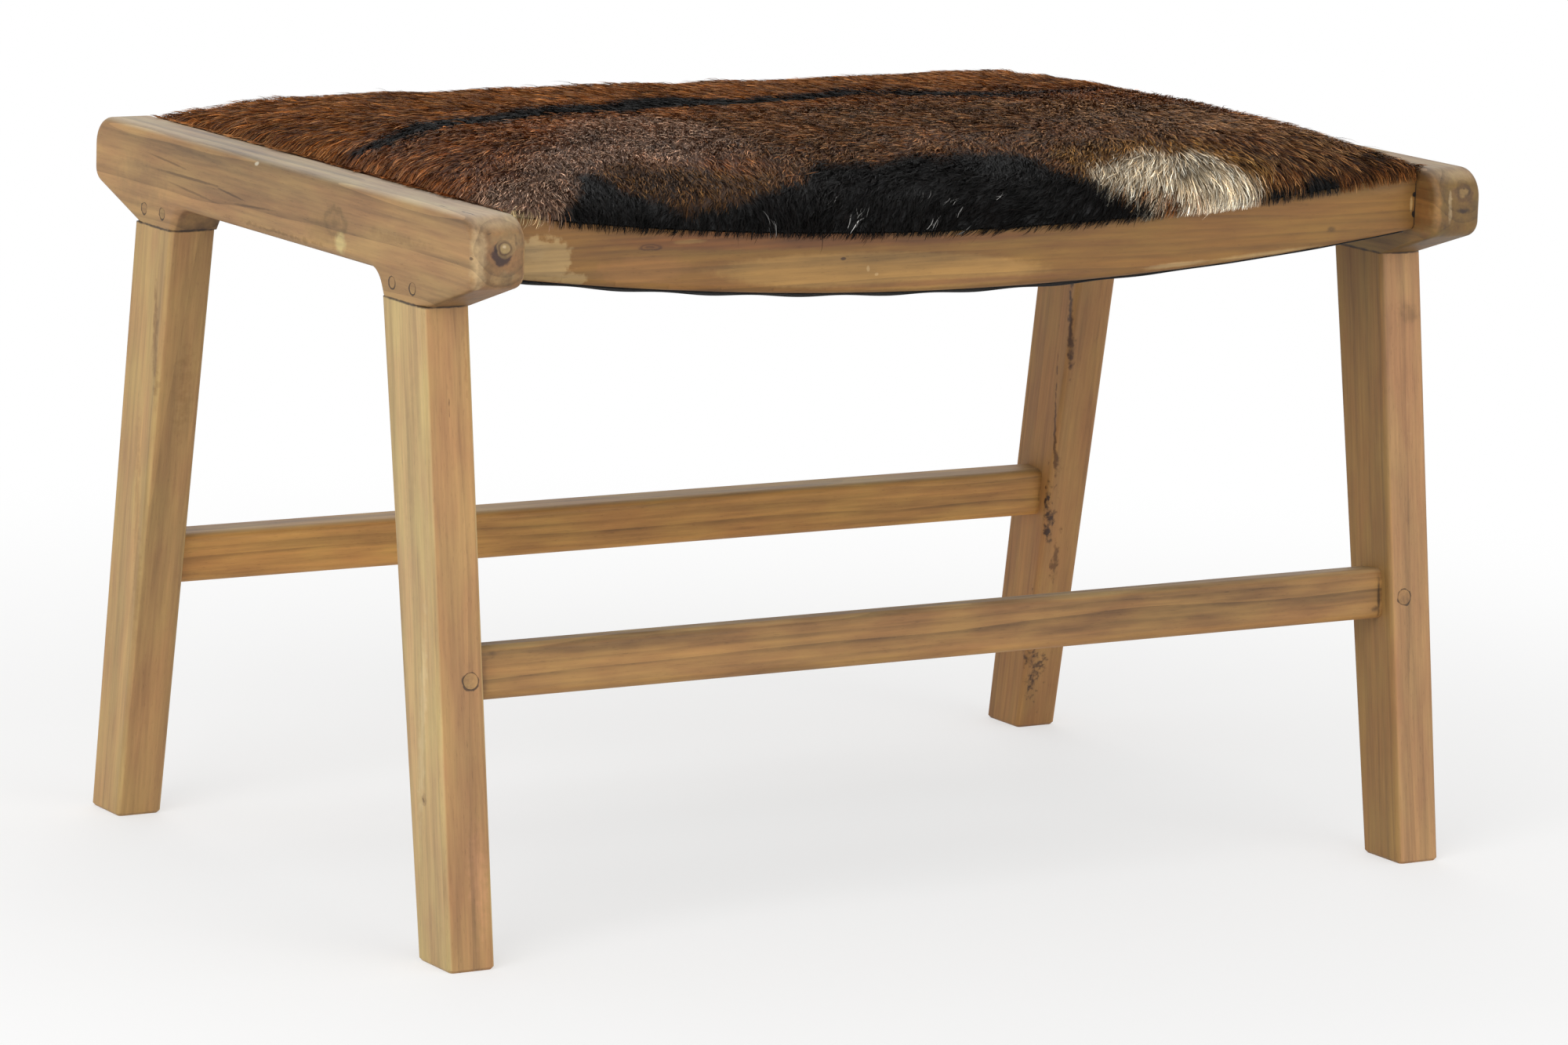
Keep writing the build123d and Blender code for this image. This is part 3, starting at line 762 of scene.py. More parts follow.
    def colours(self, flat: np.ndarray, rng: np.random.Generator, spread: float) -> tuple[np.ndarray, np.ndarray]:
        """Chooses the coat's colours at each place.

        Args:
            flat: the places on the flat hide.
            rng: the random numbers.
            spread: how much one hair differs from the next.

        Returns:
            Linear colours, one row each: of the hairs' shafts and of their tips.
        """
        count = len(flat)
        (wide, most), (fine, least) = self.shade_spots
        shade = 0.5 + most * smooth_noise(flat, wide, 1) + least * smooth_noise(flat, fine, 2)
        shade = np.clip(shade + spread * rng.normal(0, self.shade_spread, count), 0, 1)
        drift = noises(flat, self.drifts)
        pale = self.pale_least + rng.random(count) ** self.pale_power
        shaft = tips = np.zeros((count, 3))
        for patch in self.grounds + self.patches:
            depth = patch.inside(flat) + patch.wander * drift
            depth = depth + spread * rng.normal(0, self.edge_spread, count) * patch.edge
            cover = np.clip(0.5 + depth / patch.edge, 0, 1)[:, None]
            own = between(patch.dark, patch.light, shade)
            tip = own + (rgb(patch.tip) - own) * np.clip(patch.tipped * pale, 0, 1)[:, None]
            shaft = shaft * (1 - cover) + own * cover
            tips = tips * (1 - cover) + tip * cover
        line, wide = np.array(self.spine), np.array(self.spine_width)
        gap = flat[:, 1] - np.interp(flat[:, 0], line[:, 0], line[:, 1])
        half = np.interp(flat[:, 0], wide[:, 0], wide[:, 1])
        depth = half - np.abs(gap) + self.spine_wander * drift + spread * rng.normal(0, self.spine_spread, count)
        cover = (np.clip(0.5 + depth / self.spine_fade, 0, 1) * np.clip(half / self.spine_thin, 0, 1))[:, None]
        dark, light, tip = self.spine_colours
        own = between(dark, light, shade)
        shaft = shaft * (1 - cover) + own * cover
        return shaft, tips * (1 - cover) + ((1 - self.spine_tip) * own + self.spine_tip * rgb(tip)) * cover

    def lengths(self, flat: np.ndarray, rng: np.random.Generator) -> np.ndarray:
        """Chooses the length of the hair that grows at each place, as a share of the coat's usual length."""
        share = np.ones(len(flat))
        for patch in self.grounds[1:] + self.patches:
            cover = np.clip(0.5 + patch.inside(flat) / self.length_fade, 0, 1)
            share = share * (1 - cover) + patch.length * cover
        return share * np.clip(rng.normal(1, self.length_spread, len(flat)), *self.length_range)

    def flow(self, flat: np.ndarray) -> np.ndarray:
        """Gives the way that the hair is combed at each place, in radians from the stool's length to its back."""
        way = np.zeros((len(flat), 2))
        for x, over, degrees in self.comb:
            gap = (flat[:, 0] - x) ** 2 + (flat[:, 1] - over) ** 2 + self.comb_reach**2
            angle = math.radians(degrees)
            way += (gap**self.comb_power)[:, None] * np.array([math.cos(angle), math.sin(angle)])
        return np.arctan2(way[:, 1], way[:, 0]) + noises(flat, self.swirls)

    def curl(self, flat: np.ndarray) -> np.ndarray:
        """Gives how strongly the hair curls at each place: most in the middle of the seat."""
        gap = (((flat - self.curl_middle) / self.curl_reach) ** 2).sum(axis=1)
        return self.curl_least + self.curl_most * np.exp(-gap)


@dataclass(frozen=True)
class Skin:
    """The hide as it is drawn over the pad: a grid of points with their places on the flat hide.

    Attributes:
        form: the seat's form.
        cell: the width of the grid's cells, in mm.
        end_rows: how many lines follow each end, where the skin turns down.
        end_start: the share of the half length at which they start.
        roll_rows: how many lines follow each rolled side.
        roll_start: the share of the half depth at which they start.
        roll_even: how evenly they stand.
        push: how hard the foam presses the skin, as a cloth pressure.
        most_push: how far the skin may give, in mm.
        frames: how many steps the pressing takes.
        quality: how finely each step is worked out.
        stiffness: how stiff the skin is against bending.
        thickness: the hide's thickness, in mm.
        tucked: how far its ends are tucked down beside the end rails, below the seat rails' tops there, in mm.
        rail_inside: how far from the middle the seat rails stand, in mm.
        rail_gap: how far its ends stand above the seat rails, in mm.
        end_gap: how far its last line, and the one before, stand from the end rails, in mm.
    """

    form: SeatForm
    cell: float = 4.0
    end_rows: int = 8
    end_start: float = 0.93
    roll_rows: int = 14
    roll_start: float = 0.76
    roll_even: float = 0.8
    push: float = 4.0
    most_push: float = 1.2
    frames: int = 20
    quality: int = 4
    stiffness: float = 2.0
    thickness: float = 2.2
    tucked: float = 3.0
    rail_inside: float = 164.0
    rail_gap: float = 0.4
    end_gap: Pair = (0.2, 0.3)

    def _lines(self, start: float, end: float, rows: int, even: float = 1.0) -> np.ndarray:
        """Spaces the grid's lines from the middle, in mm: even cells to start, then closer rows to end."""
        flat = np.linspace(0, start, int(start / self.cell) + 1)
        turn = np.sin(np.linspace(0, math.pi / 2, rows + 1)[1:]) ** even
        return np.concatenate([flat, start + (end - start) * turn])

    def drawn(self) -> tuple[np.ndarray, np.ndarray]:
        """Draws the skin over the pad.

        Returns:
            The grid's points in mm, and each one's place on the flat hide: along the stool, and over the hide
            from its middle.
        """
        form = self.form
        last, before = (form.half_length - gap for gap in self.end_gap)
        half_x = np.append(self._lines(self.end_start * form.half_length, before, self.end_rows), last)
        half_y = self._lines(self.roll_start * form.half_depth, form.half_depth, self.roll_rows, self.roll_even)
        xs, ys = (np.concatenate([-half[:0:-1], half]) for half in (half_x, half_y))
        x, y = np.meshgrid(xs, ys, indexing="ij")
        z = form.height(x, y)
        foot = np.where(np.abs(ys) < self.rail_inside, form.rail_end - self.tucked, form.rail_end + self.rail_gap)
        z[[0, -1]] = np.minimum(z[[0, -1]], foot)
        steps = np.hypot(np.diff(y, axis=1), np.diff(z, axis=1))
        over = np.concatenate([np.zeros((len(xs), 1)), np.cumsum(steps, axis=1)], axis=1)
        over -= over[:, [len(ys) // 2]]
        return np.stack([x, y, z], axis=2), np.stack([x, over], axis=2)

    def press(self, piece: bpy.types.Object, points: np.ndarray) -> np.ndarray:
        """Lets the foam press the skin up with a cloth simulation, its rim held.

        Args:
            piece: the skin.
            points: its grid of points, in mm.

        Returns:
            The grid after pressing, in mm.
        """
        inner = np.zeros(points.shape[:2], dtype=bool)
        inner[2:-2, 2:-2] = True
        piece.vertex_groups.new(name="rim").add(np.flatnonzero(~inner.ravel()).tolist(), 1.0, "REPLACE")
        cloth = piece.modifiers.new("press", "CLOTH")
        cloth.settings.quality = self.quality
        cloth.settings.vertex_group_mass = "rim"
        cloth.settings.use_pressure = True
        cloth.settings.uniform_pressure_force = self.push
        cloth.settings.effector_weights.gravity = 0.0
        cloth.settings.bending_stiffness = self.stiffness
        cloth.collision_settings.use_collision = False
        cloth.point_cache.frame_start = 1
        cloth.point_cache.frame_end = self.frames
        for step in range(1, self.frames + 1):
            bpy.context.scene.frame_set(step)
        moved = piece.evaluated_get(bpy.context.evaluated_depsgraph_get()).to_mesh()
        places = np.empty(len(moved.vertices) * 3)
        moved.vertices.foreach_get("co", places)
        shift = places.reshape(points.shape) / MM - points
        size = np.linalg.norm(shift, axis=2, keepdims=True)
        LOG.info("the skin gives %.2f mm at most", size.max())
        piece.modifiers.remove(cloth)
        bpy.context.scene.frame_set(1)
        return points + shift * np.minimum(1, self.most_push / np.maximum(size, TINY))

    def build(self, pattern: Pattern, material: bpy.types.Material) -> tuple[np.ndarray, np.ndarray]:
        """Makes the skin piece.

        Args:
            pattern: the coat's pattern, which gives the skin its colours.
            material: the skin's finish.

        Returns:
            Its grid of points in mm and their places on the flat hide.
        """
        points, flat = self.drawn()
        piece = new_mesh("hide", points.reshape(-1, 3), grid_faces(*points.shape[:2]), material)
        points = self.press(piece, points)
        mesh = piece.data
        mesh.vertices.foreach_set("co", (points * MM).ravel())
        colours, _ = pattern.colours(flat.reshape(-1, 2), np.random.default_rng(SEED), 0.0)
        layer = mesh.color_attributes.new("coat", "FLOAT_COLOR", "POINT")
        layer.data.foreach_set("color", np.column_stack([colours, np.ones(len(colours))]).ravel())
        shell = piece.modifiers.new("thickness", "SOLIDIFY")
        shell.thickness = self.thickness * MM
        shell.offset = -1.0
        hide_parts("hide_cover")
        return points, flat


class DrawnHide:
    """Carries places on the flat hide to the skin as it is drawn over the pad.

    Attributes:
        samples: how many places it keeps across the hide.
        end_gap: how far from the end rails the skin ends, in mm.
        rail_step: how far the end rails' tops stand over the seat rails' ends, in mm.
        rail_round: the radius of the end rails' top edges, in mm.
        rail_past: how far past the seat rails hair still lies on the end rails, in mm.
        turn_down: over how many mm past the skin's rims a hair turns off the skin and hangs.
        settle: over how many mm past the skin's end the hair comes down to the rail.
        follow: how closely it follows the rail's rounded edge.
        keep: how much of its height over the skin it keeps there.
    """

    samples = 241
    end_gap = 0.4
    rail_step = 2.95
    rail_round = 4.0
    rail_past = 4.0
    turn_down = 2.0
    settle = 1.5
    follow = 0.85
    keep = 0.3

    def __init__(self, form: SeatForm, points: np.ndarray, flat: np.ndarray) -> None:
        """Reads the drawn skin: its grid of points in mm, and their places on the flat hide."""
        self.form = form
        self.xs = flat[:, 0, 0]
        self.reach = flat[:, -1, 1]
        shares = np.linspace(-1, 1, self.samples)
        rows = []
        for row, reach in enumerate(self.reach):
            own = flat[row, :, 1] / reach
            rows.append(np.stack([np.interp(shares, own, points[row, :, axis]) for axis in range(3)], axis=1))
        self.places = np.array(rows)
        self.off = unit(np.cross(np.gradient(self.places, axis=0), np.gradient(self.places, axis=1)))

    def reach_at(self, x: np.ndarray) -> np.ndarray:
        """Gives how far the hide reaches from its middle line at x, in mm."""
        return np.interp(x, self.xs, self.reach)

    def place(self, flat: np.ndarray, lift: np.ndarray) -> tuple[np.ndarray, np.ndarray]:
        """Finds points over the skin. Past its rims they hang down, and past its ends they lie on the rails.

        Args:
            flat: places on the flat hide, in mm.
            lift: how far off the skin each point is, in mm.

        Returns:
            The points in mm, and the direction straight off the skin there.
        """
        most = self.form.half_length - self.end_gap
        x = np.clip(flat[:, 0], -most, most)
        share = flat[:, 1] / self.reach_at(x)
        extra = np.maximum(np.abs(share) - 1, 0) * self.reach_at(x)
        row = np.clip(np.interp(x, self.xs, np.arange(len(self.xs))), 0, len(self.xs) - LAST_CELL)
        column = (np.clip(share, -1, 1) + 1) / 2 * (self.samples - LAST_CELL)
        i, j = row.astype(int), column.astype(int)
        a, b = (row - i)[:, None], (column - j)[:, None]
        found = []
        for grid in (self.places, self.off):
            near = grid[i, j] * (1 - b) + grid[i, j + 1] * b
            far = grid[i + 1, j] * (1 - b) + grid[i + 1, j + 1] * b
            found.append(near * (1 - a) + far * a)
        place, off = found
        hangs = np.clip(extra / self.turn_down, 0, 1)[:, None]
        off = unit(off * (1 - hangs) + hangs * np.stack([0 * share, np.sign(share), 0 * share], axis=1))
        place = place + off * lift[:, None]
        place[:, 2] -= extra
        place[:, 0] += flat[:, 0] - x
        on_rail = (np.abs(place[:, 0]) > most) & (np.abs(place[:, 1]) < self.form.half_depth + self.rail_past)
        out = np.maximum(np.abs(place[:, 0]) - self.form.half_length, 0)
        eased = np.maximum(self.rail_round - out, 0)
        eased = self.rail_round - np.sqrt(self.rail_round**2 - eased**2)
        floor = self.form.rail_end + self.rail_step - self.follow * eased + self.keep * lift
        lying = floor + np.maximum(place[:, 2] - floor, 0) * np.exp(-out / self.settle)
        place[:, 2] = np.where(on_rail, lying, place[:, 2])
        return place, off


@dataclass
class Coat:
    """The goat's coat, grown hair by hair from the skin.

    Attributes:
        form: the seat's form.
        points: the skin's grid, in mm.
        flat: the grid's places on the flat hide.
        hairs: how many hairs there are.
        knots: how many points a hair has.
        length: the usual length of a hair, in mm.
        width: the width of a hair at its root, in mm. It stands for the few hairs of a lock, because a single
            one is too fine to show.
        lock: the distance from lock to lock, in mm.
        depth: how far the top hairs lie above the skin, in mm.
        panels: how many pieces the coat is parted into, along the stool.
    """

    form: SeatForm
    points: np.ndarray
    flat: np.ndarray
    hairs: int = 130_000
    knots: int = 5
    length: float = 11.0
    width: float = 0.42
    lock: float = 5.0
    depth: float = 4.2
    panels: int = 5

    # A few hairs stray from the rest: they turn off, are longer and stand higher.
    stray_share, stray_turn, stray_length, stray_lift = 0.006, 0.5, 1.4, 1.5
    # How far the way of each hair differs, in radians, and how far it is rolled about itself.
    turn_spread, roll = 0.13, 0.9
    # How strongly a lock draws its hairs together, how much faster towards their tips, and where in its cell a
    # lock's middle can stand. The cells start so many mm before the hide's middle, and are so many each way.
    lock_pull, lock_power, lock_range = 0.6, 1.3, (0.15, 0.85)
    lock_start, lock_cells = 330, 200
    # A hair's wave: how far its start differs from hair to hair and over spots of 6 mm, and its run in radians.
    wave_start, wave_drift, wave_run = 0.9, 4.4, 4.6
    # The coat's thickness and how far that changes over spots of 30 mm; how low the lowest hairs lie, and how few
    # of them there are; how soon a hair gains its height, how far its tip flicks, and the least it stays clear.
    loft, loft_wave, low_range, low_power = 0.75, 0.35, (0.12, 1.0), 0.8
    rise_run, flick, clear, least_lift = 1.35, 0.35, 0.1, 0.15
    # How far the hairs hang over the seat rails, in mm, at places along the stool.
    hang = ((0, 150, 225, 270), (3.6, 3.6, 4.4, 5.2))
    hang_spread, stray_hang = (0.75, 1.1), (2, 7)
    # How far they lap over the end rails, in mm, and how far that changes over spots of 12 mm.
    lap_range, lap_wave, least_lap = (0.5, 4.5), 2.2, 0.3
    least_length = 2.0
    # A hair that lies flatter than this towards the front or an end is trimmed as if it lay so.
    least_front, least_end = 0.12, 0.1
    # Half the length and half the width of a fleck, in mm, and the share of its hairs that are painted pale as a
    # glint.
    fleck_reach, fleck_share = (3.4, 1.1), 0.4
    # A hair's width at each knot, and where along it the colour of its tip begins.
    taper = (0.75, 1.0, 0.85, 0.6, 0.0)
    tip_start, tip_run = 0.45, 0.5
    # How dark a hair is at its root and how bright at its tip: partly its own colour, partly painted shade deep in the
    # coat and painted light on its top.
    root_level, tip_level = 0.3, 1.25
    # How far the brightness of single hairs differs, and that of spots of 4 mm, as powers of e.
    level_middle, level_spread, clump = -0.03, 0.50, 0.42
    width_range = (0.6, 1.25)
    # In the layout for baking each hair has its own cell, so many times as long as it is wide, and covers these
    # shares of it, across and along.
    bake_long, bake_across, bake_along = 3, (0.15, 0.85), (0.1, 0.8)

    def __post_init__(self) -> None:
        """Gets the random numbers, the pattern, the drawn hide and the roots ready."""
        self.rng = np.random.default_rng(SEED)
        self.pattern = Pattern()
        self.hide = DrawnHide(self.form, self.points, self.flat)
        self.root = self._roots()

    def _roots(self) -> np.ndarray:
        """Spreads the hairs' roots evenly over the skin, and gives their places on the flat hide."""
        points, flat, rng = self.points, self.flat, self.rng
        corner = points[:-1, :-1]
        area = np.linalg.norm(np.cross(points[1:, :-1] - corner, points[:-1, 1:] - corner), axis=2).ravel()
        cell = rng.choice(len(area), self.hairs, p=area / area.sum())
        row, column = np.unravel_index(cell, (points.shape[0] - 1, points.shape[1] - 1))
        a, b = rng.random((2, self.hairs, 1))
        near = flat[row, column] * (1 - b) + flat[row, column + 1] * b
        far = flat[row + 1, column] * (1 - b) + flat[row + 1, column + 1] * b
        return near * (1 - a) + far * a

    def _trimmed(self, heading: np.ndarray, length: np.ndarray, stray: np.ndarray) -> np.ndarray:
        """Shortens the hairs that would hang far over the rails.

        Args:
            heading: the way that each hair lies.
            length: the hairs' lengths, in mm.
            stray: which hairs stand out from the rest.

        Returns:
            The lengths, in mm.
        """
        x, over, rng = self.root[:, 0], self.root[:, 1], self.rng
        hang = np.interp(np.abs(x), *self.hang) * rng.uniform(*self.hang_spread, len(x))
        hang = hang + np.where(stray, rng.uniform(*self.stray_hang, len(x)), 0)
        room = self.hide.reach_at(x) - np.abs(over) + hang
        out = np.maximum(np.sin(heading) * np.sign(over), self.least_front)
        length = np.minimum(length, np.maximum(room / out, self.least_length))
        lap = rng.uniform(*self.lap_range, len(x)) + self.lap_wave * smooth_noise(self.root, 12, 10)
        room = self.form.half_length - np.abs(x) + np.maximum(lap, self.least_lap)
        out = np.maximum(np.cos(heading) * np.sign(x), self.least_end)
        return np.minimum(length, np.maximum(room / out, self.least_length))

    def _pull(self, heading: np.ndarray, stray: np.ndarray) -> np.ndarray:
        """Gives how far each hair's tip is drawn sideways to the middle of its lock, in mm."""
        middle = np.random.default_rng(SEED + 7).uniform(*self.lock_range, (self.lock_cells, self.lock_cells, 2))
        cell = np.floor((self.root + self.lock_start) / self.lock).astype(int)
        pull = (cell + middle[cell[:, 0], cell[:, 1]]) * self.lock - self.lock_start - self.root
        ahead = np.stack([np.cos(heading), np.sin(heading)], axis=1)
        pull -= (pull * ahead).sum(axis=1, keepdims=True) * ahead
        return pull * np.where(stray, 0.0, self.lock_pull)[:, None]

    def grow(self) -> tuple[np.ndarray, ...]:
        """Lets each hair grow over the skin.

        Returns:
            The hairs' points in mm, knot by knot, the sideways direction of each hair's ribbon there, and the
            place on the flat hide over which the hair shows.
        """
        root, rng, count, steps = self.root, self.rng, self.hairs, self.knots - 1
        heading = self.pattern.flow(root) + rng.normal(0, self.turn_spread, count)
        stray = rng.random(count) < self.stray_share
        heading[stray] += rng.normal(0, self.stray_turn, stray.sum())
        length = self.length * self.pattern.lengths(root, rng) * np.where(stray, self.stray_length, 1.0)
        length = self._trimmed(heading, length, stray)
        pull, curl = self._pull(heading, stray), self.pattern.curl(root)
        phase = rng.uniform(-self.wave_start, self.wave_start, count) + self.wave_drift * smooth_noise(root, 6.0, 8)
        top = self.depth * (self.loft + self.loft_wave * smooth_noise(root, 30, 9))
        top = top * rng.uniform(*self.low_range, count) ** self.low_power * np.where(stray, self.stray_lift, 1.0)
        flick = rng.normal(0, self.flick, count)
        spot, seen = root.copy(), root
        place, off = self.hide.place(spot, np.full(count, self.clear / 2))
        spots, offs = [place], [off]
        for step in range(1, steps + 1):
            share = step / steps
            turn = heading + curl * np.sin(phase + self.wave_run * share)
            way = np.stack([np.cos(turn), np.sin(turn)], axis=1)
            gain = share**self.lock_power - (share - 1 / steps) ** self.lock_power
            spot = spot + way * (length / steps)[:, None] + pull * gain
            lift = top * math.sin(min(self.rise_run * share, 1) * math.pi / 2) + flick * share**2 + self.clear
            place, off = self.hide.place(spot, np.maximum(lift, self.least_lift))
            spots.append(place)
            offs.append(off)
            if step == steps - 1:
                seen = spot
        hair, off = np.stack(spots, axis=1), np.stack(offs, axis=1)
        way = unit(np.gradient(hair, axis=1))
        across = unit(np.cross(way, off))
        roll = rng.uniform(-self.roll, self.roll, count)[:, None, None]
        return hair, np.cos(roll) * across + np.sin(roll) * np.cross(way, across), seen

    def build(self, material: bpy.types.Material) -> None:
        """Makes the coat's panels, from the stool's left to its right, in the hair's finish."""
        rng, root = self.rng, self.root
        hair, across, seen = self.grow()
        shaft, tips = self.pattern.colours(seen, rng, 1.0)
        # The hairs at each fleck are painted pale: a painted glint of light on the dark coat.
        for x, over in self.pattern.flecks:
            gap = np.hypot((seen[:, 0] - x) / self.fleck_reach[0], (seen[:, 1] - over) / self.fleck_reach[1])
            hit = (gap < 1) & (rng.random(self.hairs) < self.fleck_share)
            shaft[hit] = tips[hit] = rgb(self.pattern.fleck_colour)
        level = rng.normal(self.level_middle, self.level_spread, self.hairs) + self.clump * smooth_noise(root, 4.0, 11)
        share = np.linspace(0, 1, self.knots)[None, :, None]
        rise = np.clip((share - self.tip_start) / self.tip_run, 0, 1)
        colours = shaft[:, None, :] * (1 - rise) + tips[:, None, :] * rise
        colours = colours * (self.root_level + (self.tip_level - self.root_level) * share)
        colours = colours * np.exp(level)[:, None, None]
        wide = self.width * rng.uniform(*self.width_range, (self.hairs, 1, 1)) * np.array(self.taper)[None, :, None]
        left, right = hair - across * wide / 2, hair + across * wide / 2
        edges = np.linspace(-self.form.half_length, self.form.half_length, self.panels + 1)
        edges[0], edges[-1] = -np.inf, np.inf
        for panel in range(self.panels):
            own = (root[:, 0] >= edges[panel]) & (root[:, 0] < edges[panel + 1])
            self._ribbons("coat_%d" % (panel + 1), left[own], right[own], colours[own], material)

    def _ribbons(self, name: str, left: np.ndarray, right: np.ndarray, colours: np.ndarray,
                 material: bpy.types.Material) -> None:
        """Makes one panel's hairs as narrow pointed ribbons.

        Args:
            name: the panel's name.
            left: each ribbon's left edge, knot by knot, in mm.
            right: its right edge.
            colours: each hair's colour, knot by knot.
            material: the finish of the hair.
        """
        count, knots, _ = left.shape
        body = knots - 1
        own = 2 * body + 1
        corners, shades = np.empty((count, own, 3)), np.ones((count, own, 4))
        corners[:, 0 : 2 * body : 2] = left[:, :body]
        corners[:, 1 : 2 * body : 2] = right[:, :body]
        corners[:, -1] = left[:, -1]
        shades[:, 0 : 2 * body : 2, :3] = shades[:, 1 : 2 * body : 2, :3] = colours[:, :body]
        shades[:, -1, :3] = colours[:, -1]
        loops = [index for k in range(body - 1) for index in (2 * k, 2 * k + 1, 2 * k + 3, 2 * k + 2)]
        loops += [2 * body - 2, 2 * body - 1, 2 * body]
        sizes = np.array([4] * (body - 1) + [3])
        starts = np.concatenate([[0], np.cumsum(sizes)[:-1]])
        shift = np.arange(count)[:, None]
        mesh = bpy.data.meshes.new(name)
        mesh.vertices.add(count * own)
        mesh.vertices.foreach_set("co", (corners * MM).ravel())
        mesh.loops.add(count * len(loops))
        mesh.loops.foreach_set("vertex_index", (np.array(loops)[None, :] + shift * own).ravel())
        mesh.polygons.add(count * body)
        mesh.polygons.foreach_set("loop_start", (starts[None, :] + shift * len(loops)).ravel())
        mesh.polygons.foreach_set("loop_total", np.tile(sizes, count))
        layer = mesh.color_attributes.new("coat", "FLOAT_COLOR", "POINT")
        layer.data.foreach_set("color", shades.ravel())
        side = math.ceil(math.sqrt(count / self.bake_long))
        wide = self.bake_long * side
        column, row = np.divmod(np.arange(count), wide)
        cell = np.stack([row / wide, column / side], axis=1)
        along = np.array([k / body for k in range(body) for _ in range(2)] + [1.0])
        start, run = self.bake_along
        inset = np.stack([[*self.bake_across] * body + [0.5], start + run * along], axis=1)
        spots = cell[:, None, :] + inset[None, :, :] / np.array([wide, side])
        mesh.uv_layers.new(name="OFBake").data.foreach_set("uv", spots[:, loops].ravel())
        mesh.update(calc_edges=True)
        place_mesh(name, mesh, material)


@dataclass(frozen=True)
class FoamPad:
    """The foam pad under the hide: a closed crowned block on the webbing.

    Attributes:
        form: the seat's form.
        gap: how far the pad lies under the skin's outer face, in mm.
        floor: how far its underside stands above the rails, in mm.
        setback: how far its ends stand back from the end rails, in mm.
        columns: how many cells it has along the stool.
        rows: how many cells it has across it.
        squeeze: how much nearer to its sides the crown already falls off than the skin's does.
    """

    form: SeatForm
    gap: float = 2.6
    floor: float = 2.7
    setback: float = 5.5
    columns: int = 60
    rows: int = 40
    squeeze: float = 1.012

    def build(self, material: bpy.types.Material) -> None:
        """Makes the pad in the foam's finish."""
        form = self.form
        xs = np.linspace(-1, 1, self.columns + 1) * (form.half_length - self.setback)
        ys = np.sin(np.linspace(-math.pi / 2, math.pi / 2, self.rows + 1)) * (form.half_depth - self.gap)
        x, y = np.meshgrid(xs, ys, indexing="ij")
        under = form.rail_top(x) + self.floor
        over = np.maximum(form.height(x, y * self.squeeze) - self.gap, under)
        piece = slab("foam_pad", x, y, over, under, material)
        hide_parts("seat_pad")


@dataclass(frozen=True)
class Webbing:
    """The woven bands that carry the pad, from seat rail to seat rail.

    Attributes:
        form: the seat's form.
        count: how many bands there are.
        cords: how many raised cords each band has across its width.
        cord_columns: how many cells of the mesh each cord has.
        rows: how many cells a band has along its length.
        relief: how far those stand up, in mm.
        thickness: how thick a band is over its cords, in mm.
        lift: how far it lies above the rails, in mm.
    """

    form: SeatForm
    count: int = 7
    cords: int = 9
    cord_columns: int = 6
    rows: int = 48
    relief: float = 0.16
    thickness: float = 2.0
    lift: float = 0.3

    def build(self, material: bpy.types.Material) -> None:
        """Makes the bands from left to right, each in the place of its node, in the webbing's finish."""
        share = np.linspace(0, 1, self.cord_columns * self.cords + 1)
        ripple = (self.relief * np.cos(math.tau * self.cords * share))[:, None]
        for index in range(self.count):
            node = "webbing_strap_%d" % (index + 1)
            low, high = (np.array(corner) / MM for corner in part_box(node))
            xs = low[0] + (high[0] - low[0]) * share
            x, y = np.meshgrid(xs, np.linspace(low[1], high[1], self.rows + 1), indexing="ij")
            foot = self.form.rail_top(x) + self.lift + self.relief
            over = foot + self.thickness - 2 * self.relief + ripple
            piece = slab(node.replace("strap", "band"), x, y, over, foot - ripple, material)
            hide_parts(node)


